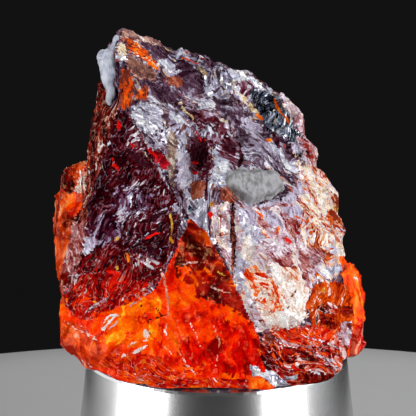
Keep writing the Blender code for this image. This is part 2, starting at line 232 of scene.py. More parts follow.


# The stone's palettes: the way the flakes run (their grain), how much they tilt, how much the
# pale ones glance like mirrors, the colour and strength of the thin lines between them, and
# their own colours from the darkest, as they look on a screen, with the share of each. Their
# pale lavender-white colours are painted glints of cleavage faces, bright from every side.
Palette = namedtuple("Palette", "grain tilt glint line_colour line_share colours")
CLEAVED = {
    "plum": Palette("slant", 0.5, 0.5, (190, 180, 200), 0.4, (
        (40, 16, 28, 0.2), (72, 44, 60, 0.28), (104, 78, 94, 0.18), (160, 62, 38, 0.04),
        (176, 146, 122, 0.05), (156, 146, 170, 0.14), (230, 230, 242, 0.11))),
    "slab": Palette("slant", 0.4, 0.5, (70, 40, 58), 0.5, (
        (66, 36, 50, 0.2), (106, 84, 100, 0.26), (140, 128, 148, 0.22), (182, 178, 198, 0.2),
        (230, 230, 242, 0.12))),
    # Painted reflections of broad cleavage faces turned to the lamps, pale lavender-white, with some
    # true mirror from their glance
    "silver glint": Palette("slant", 0.4, 0.5, (70, 44, 62), 0.6, (
        (76, 52, 70, 0.16), (136, 126, 148, 0.2), (194, 174, 154, 0.06), (188, 188, 208, 0.28),
        (242, 244, 250, 0.3))),
    "apex": Palette("slant", 0.3, 0.2, (240, 222, 212), 0.5, (
        (122, 74, 76, 0.18), (162, 116, 110, 0.28), (202, 156, 138, 0.24), (226, 202, 186, 0.18),
        (244, 236, 240, 0.12))),
    "brown": Palette("slant", 0.15, 0.0, (170, 120, 100), 0.4, (
        (92, 54, 54, 0.34), (126, 84, 74, 0.38), (158, 110, 92, 0.28))),
    "garnet": Palette("slant", 0.4, 0.3, (196, 170, 186), 0.5, (
        (40, 6, 14, 0.26), (78, 20, 32, 0.28), (108, 48, 62, 0.22), (150, 120, 140, 0.14),
        (214, 208, 226, 0.1))),
    "orange": Palette("slant", 0.3, 0.0, (110, 34, 20), 0.6, (
        (112, 44, 32, 0.18), (172, 72, 38, 0.22), (232, 78, 20, 0.26), (252, 110, 26, 0.18),
        (244, 192, 150, 0.16))),
    "bright orange": Palette("slant", 0.2, 0.0, (255, 170, 60), 0.3, (
        (232, 76, 12, 0.4), (255, 104, 10, 0.4), (255, 150, 30, 0.2))),
    "side": Palette("upright", 0.4, 0.1, (226, 190, 170), 0.4, (
        (38, 4, 6, 0.2), (84, 10, 10, 0.28), (132, 28, 16, 0.24), (172, 72, 48, 0.14),
        (212, 160, 138, 0.09), (238, 220, 212, 0.05))),
    "beige": Palette("upright", 0.4, 0.1, (70, 8, 10), 0.7, (
        (48, 4, 8, 0.36), (98, 24, 22, 0.27), (154, 74, 60, 0.17), (204, 166, 154, 0.13),
        (240, 230, 232, 0.07))),
    "wine": Palette("rising", 0.5, 0.3, (186, 150, 168), 0.5, (
        (18, 1, 5, 0.24), (50, 3, 11, 0.29), (88, 10, 22, 0.23), (122, 44, 54, 0.08),
        (164, 132, 154, 0.07), (240, 232, 240, 0.09))),
    # Painted shade: the darker bands of the wine face
    "shaded wine": Palette("rising", 0.4, 0.1, (160, 130, 146), 0.6, (
        (22, 1, 5, 0.36), (54, 4, 10, 0.34), (92, 12, 22, 0.2), (140, 100, 116, 0.1))),
    # Painted light: the lighter patches of the wine face, with a net of painted glints
    "lit wine net": Palette("rising", 0.5, 0.4, (40, 3, 14), 0.8, (
        (30, 2, 12, 0.3), (72, 18, 36, 0.24), (108, 64, 90, 0.17), (164, 148, 178, 0.16),
        (228, 226, 242, 0.13))),
    "dark red": Palette("slant", 0.3, 0.0, (200, 90, 70), 0.4, (
        (62, 3, 4, 0.4), (104, 7, 5, 0.4), (152, 24, 10, 0.2))),
    "red wine": Palette("rising", 0.5, 0.3, (206, 160, 160), 0.5, (
        (46, 3, 7, 0.25), (88, 7, 12, 0.32), (134, 14, 18, 0.24), (164, 86, 90, 0.09),
        (228, 212, 218, 0.1))),
    "ember": Palette("rising", 0.4, 0.1, (240, 190, 176), 0.45, (
        (92, 4, 8, 0.2), (146, 8, 8, 0.3), (208, 18, 6, 0.24), (244, 62, 8, 0.14), (210, 110, 94, 0.05),
        (242, 220, 214, 0.07))),
    "ribs": Palette("upright", 0.45, 0.5, (60, 30, 42), 0.6, (
        (50, 20, 32, 0.18), (94, 62, 76, 0.2), (150, 84, 62, 0.06), (136, 114, 134, 0.16),
        (182, 178, 200, 0.22), (232, 232, 244, 0.18))),
    "pit": Palette("rising", 0.5, 1.6, (206, 212, 224), 0.7, (
        (8, 9, 14, 0.24), (34, 38, 52, 0.26), (86, 92, 110, 0.19), (176, 156, 124, 0.02),
        (158, 164, 182, 0.15), (226, 230, 238, 0.14))),
    "rosy": Palette("slant", 0.35, 0.3, (120, 24, 24), 0.6, (
        (122, 44, 44, 0.14), (172, 112, 114, 0.24), (200, 168, 182, 0.32), (230, 220, 228, 0.3))),
    "pale": Palette("slant", 0.32, 0.3, (150, 34, 20), 0.8, (
        (146, 46, 36, 0.09), (178, 120, 124, 0.15), (198, 166, 176, 0.2), (220, 208, 222, 0.22),
        (240, 224, 216, 0.16), (246, 214, 182, 0.1), (222, 92, 46, 0.08))),
    "warm pale": Palette("slant", 0.35, 0.2, (170, 44, 18), 0.8, (
        (136, 44, 26, 0.1), (214, 92, 38, 0.13), (222, 164, 132, 0.16), (204, 192, 206, 0.15),
        (242, 222, 194, 0.25), (248, 242, 236, 0.21))),
    "cream": Palette("slant", 0.25, 0.1, (206, 110, 74), 0.8, (
        (214, 110, 66, 0.06), (226, 186, 168, 0.14), (236, 218, 206, 0.24), (244, 236, 230, 0.34),
        (253, 252, 252, 0.22))),
    "dusky": Palette("slant", 0.35, 0.2, (120, 20, 16), 0.7, (
        (100, 26, 28, 0.22), (146, 66, 62, 0.26), (184, 116, 114, 0.28), (216, 186, 188, 0.24))),
    "spotted cream": Palette("slant", 0.25, 0.0, (184, 16, 6), 0.9, (
        (170, 14, 6, 0.12), (228, 44, 8, 0.28), (247, 116, 44, 0.15), (247, 200, 170, 0.22),
        (250, 234, 224, 0.23))),
    "amber": Palette("rising", 0.3, 0.0, (224, 96, 40), 0.4, (
        (96, 6, 4, 0.16), (154, 30, 4, 0.27), (198, 60, 6, 0.32), (230, 86, 12, 0.17),
        (214, 110, 70, 0.05), (240, 210, 200, 0.03))),
    "streaks": Palette("across", 0.45, 0.2, (240, 214, 214), 0.7, (
        (60, 3, 6, 0.18), (118, 8, 8, 0.24), (176, 24, 10, 0.22), (224, 78, 20, 0.15),
        (208, 136, 126, 0.1), (240, 222, 222, 0.11))),
    "speckle": Palette("across", 0.35, 0.1, (250, 200, 184), 0.4, (
        (132, 5, 6, 0.18), (200, 16, 6, 0.3), (236, 58, 6, 0.32), (248, 104, 18, 0.12),
        (250, 214, 204, 0.08))),
    "rust": Palette("upright", 0.3, 0.0, (80, 34, 28), 0.6, (
        (104, 42, 34, 0.3), (148, 68, 48, 0.4), (186, 108, 84, 0.3))),
    "tan": Palette("upright", 0.35, 0.1, (64, 40, 42), 0.6, (
        (82, 58, 58, 0.24), (126, 98, 90, 0.3), (166, 140, 124, 0.28), (208, 192, 178, 0.18))),
    "maroon": Palette("upright", 0.35, 0.1, (120, 70, 86), 0.3, (
        (34, 6, 14, 0.4), (60, 16, 28, 0.4), (92, 44, 58, 0.2))),
    "smooth plum": Palette("slant", 0.25, 0.3, (160, 140, 160), 0.4, (
        (48, 22, 36, 0.32), (74, 46, 62, 0.36), (100, 74, 92, 0.22), (156, 142, 164, 0.1))),
    "lavender": Palette("upright", 0.3, 0.3, (130, 60, 66), 0.6, (
        (146, 122, 142, 0.16), (178, 166, 190, 0.24), (204, 198, 220, 0.34), (234, 230, 244, 0.26))),
    # Painted glints of cleavage faces and edges, near white
    "white glint": Palette("slant", 0.4, 0.5, (70, 48, 74), 0.8, (
        (96, 78, 102, 0.16), (166, 162, 182, 0.24), (214, 212, 226, 0.3), (252, 252, 255, 0.3))),
    "blue pale": Palette("rising", 0.3, 0.4, (130, 80, 96), 0.6, (
        (158, 142, 166, 0.16), (192, 186, 208, 0.3), (216, 216, 230, 0.32), (240, 240, 248, 0.22))),
    "bright red": Palette("slant", 0.15, 0.0, (255, 90, 70), 0.3, (
        (190, 10, 10, 0.4), (236, 22, 12, 0.6))),
    "crimson": Palette("rising", 0.3, 0.1, (230, 60, 70), 0.5, (
        (96, 4, 16, 0.4), (150, 12, 28, 0.35), (206, 30, 46, 0.25))),
    "gold": Palette("slant", 0.25, 0.1, (250, 220, 150), 0.3, (
        (140, 86, 24, 0.2), (206, 138, 34, 0.4), (242, 190, 84, 0.4))),
    "straw": Palette("slant", 0.25, 0.1, (150, 110, 80), 0.4, (
        (190, 156, 112, 0.3), (222, 196, 152, 0.4), (242, 226, 200, 0.3))),
}
CLEAR = {
    "foot": Palette("even", 0.06, 0.0, (196, 20, 2), 0.4, (
        (190, 10, 2, 0.14), (232, 30, 2, 0.26), (253, 62, 2, 0.34), (255, 90, 3, 0.18),
        (255, 120, 12, 0.08))),
    "core": Palette("even", 0.08, 0.0, (236, 60, 2), 0.5, (
        (242, 74, 2, 0.26), (253, 104, 4, 0.34), (255, 142, 10, 0.26), (255, 190, 50, 0.14))),
    "window": Palette("even", 0.12, 0.0, (210, 30, 8), 0.4, (
        (66, 2, 4, 0.26), (116, 4, 4, 0.3), (162, 8, 4, 0.24), (204, 24, 4, 0.13), (240, 84, 4, 0.07))),
    "blood": Palette("even", 0.12, 0.0, (200, 80, 70), 0.3, (
        (74, 2, 5, 0.24), (118, 4, 8, 0.36), (158, 8, 8, 0.3), (192, 36, 18, 0.1))),
    "deep": Palette("even", 0.12, 0.0, (190, 70, 50), 0.4, (
        (50, 1, 3, 0.3), (92, 3, 5, 0.36), (132, 7, 6, 0.24), (184, 44, 10, 0.1))),
    "red": Palette("upright", 0.08, 0.0, (120, 2, 3), 0.5, (
        (140, 2, 2, 0.2), (192, 4, 2, 0.34), (226, 8, 2, 0.32), (250, 50, 2, 0.14))),
    "rim": Palette("upright", 0.14, 0.0, (150, 20, 4), 0.5, (
        (184, 22, 2, 0.15), (240, 58, 2, 0.3), (255, 88, 4, 0.36), (255, 138, 36, 0.19))),
    "back lobe": Palette("upright", 0.14, 0.0, (236, 140, 96), 0.4, (
        (116, 10, 4, 0.2), (172, 32, 8, 0.26), (214, 60, 10, 0.26), (248, 90, 8, 0.22),
        (240, 156, 106, 0.06))),
    "left lobe": Palette("even", 0.12, 0.0, (160, 26, 6), 0.5, (
        (160, 24, 4, 0.18), (210, 46, 4, 0.3), (240, 70, 4, 0.34), (252, 100, 16, 0.12),
        (246, 170, 140, 0.06))),
    "veil": Palette("upright", 0.2, 0.2, (255, 240, 236), 0.3, (
        (232, 130, 100, 0.25), (242, 176, 156, 0.35), (250, 220, 210, 0.4))),
    "crack": Palette("upright", 0.2, 0.0, (60, 8, 6), 0.3, (
        (70, 10, 6, 0.5), (120, 24, 8, 0.5))),
}
# How much of the light that its colour would send back a palette does, where it isn't usual.
# The foot, core, red and rim are drawn at full brightness: painted glow of the light that
# passes through the clear foot
USUAL_BRIGHTNESS = 0.82
BRIGHTNESS = {
    "wine": 0.72, "foot": 1.0, "core": 1.0, "red": 1.0, "window": 0.85, "blood": 0.9, "cream": 0.85,
    "rim": 1.0, "left lobe": 0.9,
}
# How clear the clear palettes are, and the rest
CLEARNESS = {
    "foot": 0.10, "core": 0.08, "window": 0.14, "blood": 0.14, "deep": 0.14, "red": 0.10,
    "rim": 0.08, "back lobe": 0.12, "left lobe": 0.06,
}
USUAL_CLEARNESS = 0.03
# The palette under all the others
BASE = "plum"

# Balls that colour the sides which the frontal view doesn't show: palette, centre above the
# pedestal and radius, and how softly they end, in millimetres
SIDE_BALLS = (
    # The silver ball paints reflections of cleavage faces on the sides as well
    ("silver glint", (2.0, 14.0, 22.0), 8.0),
    ("wine", (-8.0, 13.0, 14.0), 8.5),
    ("pale", (14.0, 6.0, 16.0), 7.0),
    ("foot", (-8.0, 10.0, 2.0), 9.0),
    ("foot", (7.0, 12.0, 4.0), 8.0),
    ("back lobe", (-18.0, 9.0, 13.0), 8.0),
    ("rim", (16.0, 4.0, 4.0), 7.0),
    ("core", (-2.0, 14.0, 5.0), 4.5),
    ("ribs", (6.0, 13.0, 13.0), 5.0),
)
SIDE_BORDER = 1.2
# How far about the silhouette the sides' colours pass into the front's
SILHOUETTE = 0.12

# Areas of the frontal view, from the lowest layer: palette, softness of its border in pixels
# and its outline in the 416-pixel frame, as x, y, x, y and so on
AREA_SOFTNESS = 1.7
# The silver and white areas are painted reflections and glints of cleavage faces
AREAS = (
    ("silver glint", 3, (148, 36, 165, 41, 186, 50, 206, 62, 206, 72, 194, 76, 186, 68, 174, 70, 160, 66,
        158, 58, 168, 52, 150, 44)),
    ("apex", 3, (120, 24, 132, 26, 150, 36, 162, 42, 166, 50, 150, 46, 138, 40, 128, 42, 120, 38)),
    ("smooth plum", 2, (138, 41, 148, 42, 168, 50, 170, 58, 158, 60, 146, 53, 138, 48)),
    ("apex", 3, (126, 56, 138, 58, 150, 68, 160, 77, 150, 80, 138, 77, 127, 70)),
    ("straw", 2, (119, 43, 126, 42, 128, 52, 124, 60, 118, 56)),
    ("orange", 2, (124, 37, 132, 38, 142, 46, 152, 57, 160, 68, 152, 66, 142, 58, 130, 50)),
    ("brown", 2, (127, 55, 138, 59, 150, 67, 159, 77, 148, 79, 134, 73, 127, 65)),
    ("orange", 3, (121, 68, 131, 70, 134, 88, 130, 106, 120, 110, 119, 92)),
    ("orange", 2, (137, 88, 150, 85, 151, 96, 141, 101, 136, 97)),
    ("smooth plum", 3, (149, 82, 162, 80, 176, 86, 181, 98, 170, 107, 158, 102, 147, 95)),
    ("smooth plum", 3, (172, 63, 186, 60, 203, 74, 206, 90, 196, 96, 184, 96, 178, 84, 182, 76)),
    ("rust", 2, (168, 76, 180, 77, 184, 84, 177, 88, 170, 84)),
    ("silver glint", 3, (204, 70, 222, 66, 240, 72, 243, 84, 232, 92, 226, 101, 212, 98, 204, 90)),
    ("white glint", 3, (198, 98, 214, 97, 221, 104, 212, 112, 204, 118, 196, 112)),
    ("silver glint", 3, (216, 63, 244, 68, 262, 82, 284, 92, 294, 97, 278, 101, 262, 92, 248, 80, 232, 73,
        216, 70)),
    ("garnet", 4, (190, 112, 206, 108, 222, 115, 238, 130, 234, 140, 212, 137, 198, 134, 188, 124)),
    ("garnet", 2, (236, 82, 252, 80, 256, 92, 248, 98, 240, 94)),
    ("pit", 3, (250, 88, 262, 90, 275, 97, 284, 108, 292, 118, 300, 134, 292, 140, 284, 136, 272, 132,
        261, 122, 256, 110, 250, 98)),
    ("smooth plum", 5, (214, 98, 226, 104, 240, 106, 252, 118, 264, 128, 274, 138, 284, 152, 280, 160,
        266, 146, 250, 136, 232, 130, 220, 116)),
    ("lavender", 3, (240, 118, 252, 116, 262, 128, 260, 136, 248, 130)),
    ("slab", 4, (236, 134, 256, 132, 276, 146, 286, 154, 298, 160, 296, 172, 270, 168, 250, 162,
        238, 152)),
    ("pale", 3, (278, 90, 298, 96, 305, 108, 310, 122, 316, 134, 306, 141, 298, 130, 290, 114,
        282, 102)),
    ("pit", 2, (289, 134, 298, 133, 302, 140, 296, 144)),
    ("pale", 3, (298, 138, 312, 140, 328, 162, 334, 176, 318, 178, 306, 164)),
    ("lavender", 2, (290, 143, 302, 144, 304, 156, 294, 155)),
    ("white glint", 3, (131, 107, 142, 101, 158, 104, 164, 112, 162, 128, 152, 137, 140, 130, 133, 120)),
    ("silver glint", 3, (141, 136, 160, 138, 164, 147, 152, 152, 143, 149)),
    ("silver glint", 3, (168, 112, 180, 110, 191, 124, 193, 138, 182, 136, 172, 124)),
    ("ribs", 6, (160, 132, 180, 122, 206, 126, 232, 134, 244, 158, 234, 176, 230, 206, 214, 240,
        196, 224, 180, 212, 168, 178)),
    ("garnet", 3, (188, 136, 208, 134, 236, 138, 242, 156, 232, 172, 214, 176, 200, 178, 190, 164)),
    ("maroon", 3, (192, 140, 206, 138, 210, 150, 208, 164, 200, 170, 192, 160)),
    ("maroon", 2, (222, 140, 234, 141, 236, 152, 226, 150)),
    ("lavender", 2, (177, 150, 190, 153, 190, 178, 184, 188, 177, 178)),
    ("tan", 2, (168, 130, 176, 132, 177, 160, 175, 186, 169, 184, 167, 160)),
    ("silver glint", 2, (211, 146, 218, 144, 219, 156, 230, 158, 231, 172, 228, 184, 216, 188, 210, 178,
        214, 166)),
    ("rust", 1, (191, 182, 203, 180, 204, 198, 192, 200)),
    ("rust", 2, (220, 188, 230, 184, 242, 196, 238, 204, 226, 204, 220, 198)),
    ("pale", 2, (212, 204, 230, 202, 233, 222, 230, 240, 234, 276, 226, 262, 216, 240, 211, 222)),
    ("side", 3, (96, 58, 104, 70, 110, 100, 112, 126, 106, 150, 96, 180, 86, 206, 74, 246, 66, 286,
        56, 300, 58, 262, 72, 216, 82, 172, 86, 130, 90, 96)),
    ("beige", 3, (110, 98, 122, 88, 119, 112, 113, 132, 106, 152, 98, 174, 92, 198, 84, 222, 78, 248,
        71, 280, 64, 272, 72, 238, 80, 206, 92, 172, 102, 140, 108, 118)),
    ("wine", 3, (117, 108, 128, 116, 138, 130, 150, 148, 164, 176, 175, 198, 181, 216, 178, 242,
        168, 266, 158, 284, 140, 292, 108, 282, 78, 276, 70, 272, 77, 246, 86, 216, 94, 190, 102, 164,
        110, 136)),
    # Painted shade: darker bands of the wine face
    ("shaded wine", 4, (112, 148, 136, 148, 160, 168, 166, 182, 150, 186, 128, 178, 110, 168)),
    ("shaded wine", 4, (98, 176, 112, 176, 120, 190, 108, 202, 96, 198)),
    ("shaded wine", 4, (138, 206, 164, 203, 177, 214, 172, 238, 150, 228)),
    ("shaded wine", 4, (138, 240, 160, 236, 169, 252, 160, 268, 146, 266, 134, 252)),
    # Painted light: lighter patches of the wine face
    ("lit wine net", 5, (114, 190, 134, 186, 152, 196, 148, 210, 128, 216, 112, 208)),
    ("lit wine net", 5, (92, 216, 112, 212, 124, 224, 118, 240, 104, 248, 86, 244)),
    ("crimson", 2, (146, 148, 160, 150, 170, 162, 166, 170, 156, 164)),
    ("lavender", 3, (82, 238, 94, 234, 98, 244, 90, 258, 79, 260)),
    ("red wine", 5, (84, 254, 106, 246, 126, 250, 146, 260, 164, 266, 158, 284, 132, 284, 104, 276,
        72, 276)),
    ("ember", 5, (66, 280, 92, 270, 118, 270, 146, 282, 152, 292, 140, 302, 120, 308, 96, 318, 74, 318,
        58, 306)),
    ("back lobe", 2, (48, 172, 66, 158, 88, 148, 86, 172, 78, 204, 70, 238, 62, 280, 64, 304, 52, 304,
        46, 240)),
    ("blood", 3, (60, 172, 70, 172, 72, 186, 68, 194, 62, 184)),
    ("veil", 4, (78, 172, 84, 168, 83, 186, 78, 190)),
    ("rim", 3, (67, 194, 82, 192, 82, 208, 72, 216, 64, 210)),
    ("deep", 2, (59, 174, 67, 171, 73, 178, 73, 190, 68, 194, 61, 186)),
    ("warm pale", 2, (78, 180, 82, 176, 84, 186, 81, 193, 73, 191)),
    ("dusky", 4, (72, 226, 84, 218, 82, 240, 78, 260, 72, 284, 66, 292, 64, 270, 67, 246)),
    ("dark red", 2, (61, 275, 67, 273, 69, 283, 64, 286)),
    ("foot", 2, (190, 219, 202, 231, 215, 250, 232, 280, 244, 304, 256, 331, 264, 352, 264, 398,
        215, 400, 150, 390, 100, 380, 72, 366, 56, 348, 52, 318, 60, 304, 84, 318, 112, 308, 140, 300,
        156, 288, 168, 266, 181, 240)),
    ("core", 7, (100, 340, 108, 326, 122, 318, 134, 314, 139, 322, 132, 334, 116, 342)),
    ("core", 5, (122, 308, 140, 301, 158, 299, 160, 310, 146, 312, 130, 316)),
    ("core", 4, (147, 322, 160, 320, 161, 342, 151, 338)),
    ("window", 1.5, (190, 220, 202, 230, 214, 248, 226, 270, 236, 286, 222, 284, 206, 282, 190, 285,
        176, 278, 174, 264, 181, 240)),
    ("deep", 2, (190, 221, 201, 232, 209, 248, 214, 262, 202, 258, 184, 252, 183, 234)),
    ("deep", 2, (204, 266, 220, 264, 232, 282, 220, 280, 208, 276)),
    # Dark red along the pale block's edge: partly the stone's own colour, partly painted shade of the
    # block's overhang
    ("blood", 4, (194, 284, 218, 279, 236, 286, 247, 306, 254, 326, 242, 316, 228, 306, 210, 300,
        196, 296)),
    ("rim", 4, (177, 268, 190, 267, 191, 277, 180, 280)),
    ("red", 5, (236, 322, 250, 326, 256, 340, 264, 356, 264, 374, 252, 378, 236, 376, 216, 374,
        206, 364, 206, 346, 214, 336, 228, 342)),
    ("red", 5, (180, 336, 198, 340, 204, 352, 200, 370, 186, 370, 178, 352)),
    ("red", 4, (216, 316, 228, 322, 232, 334, 222, 330)),
    ("speckle", 3, (174, 374, 200, 377, 230, 379, 262, 377, 284, 384, 284, 396, 200, 400, 176, 392)),
    ("speckle", 5, (100, 356, 130, 352, 160, 356, 178, 374, 170, 390, 130, 380, 100, 366)),
    ("left lobe", 4, (54, 316, 72, 322, 96, 338, 104, 352, 100, 366, 84, 372, 60, 360, 50, 340)),
    ("ember", 4, (76, 306, 94, 303, 106, 306, 98, 318, 82, 320, 70, 314)),
    ("pale", 3, (236, 202, 262, 206, 286, 200, 300, 178, 298, 160, 312, 150, 326, 168, 340, 186,
        350, 215, 354, 258, 334, 279, 314, 284, 311, 300, 309, 316, 296, 328, 276, 333, 257, 331,
        246, 308, 236, 286, 233, 242, 235, 206)),
    ("blue pale", 3, (235, 252, 246, 250, 250, 264, 246, 284, 240, 290, 235, 276)),
    ("rosy", 3, (270, 212, 286, 214, 298, 230, 290, 240, 276, 234)),
    ("rosy", 3, (262, 240, 280, 236, 296, 248, 290, 264, 276, 260, 264, 252)),
    ("warm pale", 7, (302, 170, 316, 162, 336, 182, 346, 200, 353, 256, 334, 276, 314, 276, 308, 240,
        302, 204)),
    ("rosy", 5, (296, 258, 314, 240, 324, 252, 320, 278, 306, 276)),
    ("cream", 6, (250, 286, 262, 276, 286, 270, 304, 282, 312, 298, 310, 316, 296, 328, 276, 334,
        264, 330, 252, 308)),
    ("lavender", 1, (237, 207, 250, 205, 258, 214, 262, 226, 252, 232, 240, 226)),
    ("dusky", 1, (255, 216, 262, 218, 268, 227, 262, 230)),
    ("lavender", 1, (260, 209, 272, 209, 279, 216, 284, 228, 274, 228, 264, 218)),
    ("lavender", 1, (283, 207, 296, 205, 304, 210, 302, 216, 290, 217)),
    ("dusky", 2, (286, 219, 299, 218, 300, 234, 292, 240, 286, 232)),
    ("warm pale", 1.5, (302, 224, 318, 220, 336, 224, 341, 240, 330, 246, 314, 248, 304, 240)),
    ("blue pale", 1, (241, 224, 262, 227, 266, 238, 256, 246, 246, 242)),
    ("cream", 1.5, (243, 237, 251, 236, 254, 250, 248, 262, 241, 258)),
    ("rosy", 1, (261, 241, 272, 238, 280, 250, 276, 258, 264, 254)),
    ("dusky", 1.5, (279, 256, 290, 256, 296, 264, 288, 269, 280, 266)),
    ("dusky", 2, (300, 249, 308, 248, 311, 262, 309, 280, 302, 278, 300, 264)),
    ("cream", 1, (270, 262, 282, 266, 300, 268, 304, 284, 288, 284, 274, 280)),
    ("blue pale", 1, (330, 245, 337, 245, 339, 253, 331, 254)),
    ("white glint", 1.5, (313, 274, 330, 267, 347, 263, 345, 270, 330, 276, 314, 280)),
    # Partly its own lavender, partly painted light that lifts the shade of the downward-facing ledge
    # under the patch
    ("lavender", 2, (244, 201, 262, 204, 280, 197, 292, 188, 302, 178, 304, 194, 288, 205, 262, 208,
        246, 207)),
    ("spotted cream", 3, (243, 269, 256, 265, 268, 276, 284, 295, 287, 310, 270, 311, 256, 300,
        246, 286)),
    ("amber", 3, (308, 300, 340, 300, 356, 296, 364, 310, 360, 334, 344, 338, 312, 330)),
    ("amber", 2, (311, 288, 326, 281, 346, 283, 352, 294, 346, 308, 330, 312, 312, 318, 309, 306)),
    ("streaks", 2, (318, 307, 330, 303, 341, 306, 338, 313, 324, 315)),
    ("streaks", 3, (262, 332, 290, 332, 318, 330, 346, 334, 356, 352, 350, 370, 322, 384, 296, 390,
        272, 378, 260, 356)),
    ("speckle", 4, (266, 332, 290, 329, 312, 326, 336, 330, 336, 342, 312, 342, 290, 342, 274, 338)),
    ("rosy", 2, (343, 322, 350, 320, 353, 332, 350, 344, 344, 345, 341, 334)),
    ("rim", 2, (340, 256, 357, 256, 370, 268, 382, 290, 384, 320, 380, 340, 370, 360, 352, 376,
        344, 368, 351, 344, 355, 322, 352, 300, 349, 288, 343, 280)),
    ("red", 3, (353, 332, 361, 318, 366, 330, 372, 344, 366, 358, 352, 374, 346, 366)),
    ("dark red", 2, (319, 313, 334, 319, 335, 327, 320, 325)),
    ("dark red", 2, (341, 307, 352, 305, 355, 314, 344, 316)),
    ("dark red", 3, (298, 371, 326, 372, 338, 376, 326, 386, 304, 384)),
    ("rim", 3, (248, 377, 262, 379, 276, 386, 270, 396, 248, 394)),
    ("white glint", 1, (249, 365, 258, 366, 263, 376, 252, 375)),
    ("white glint", 1, (261, 374, 272, 370, 289, 385, 281, 392, 269, 382)),
    ("white glint", 1, (284, 374, 298, 375, 296, 382, 287, 381)),
    ("cream", 1, (99, 328, 106, 318, 114, 312, 117, 314, 108, 323, 102, 330)),
)
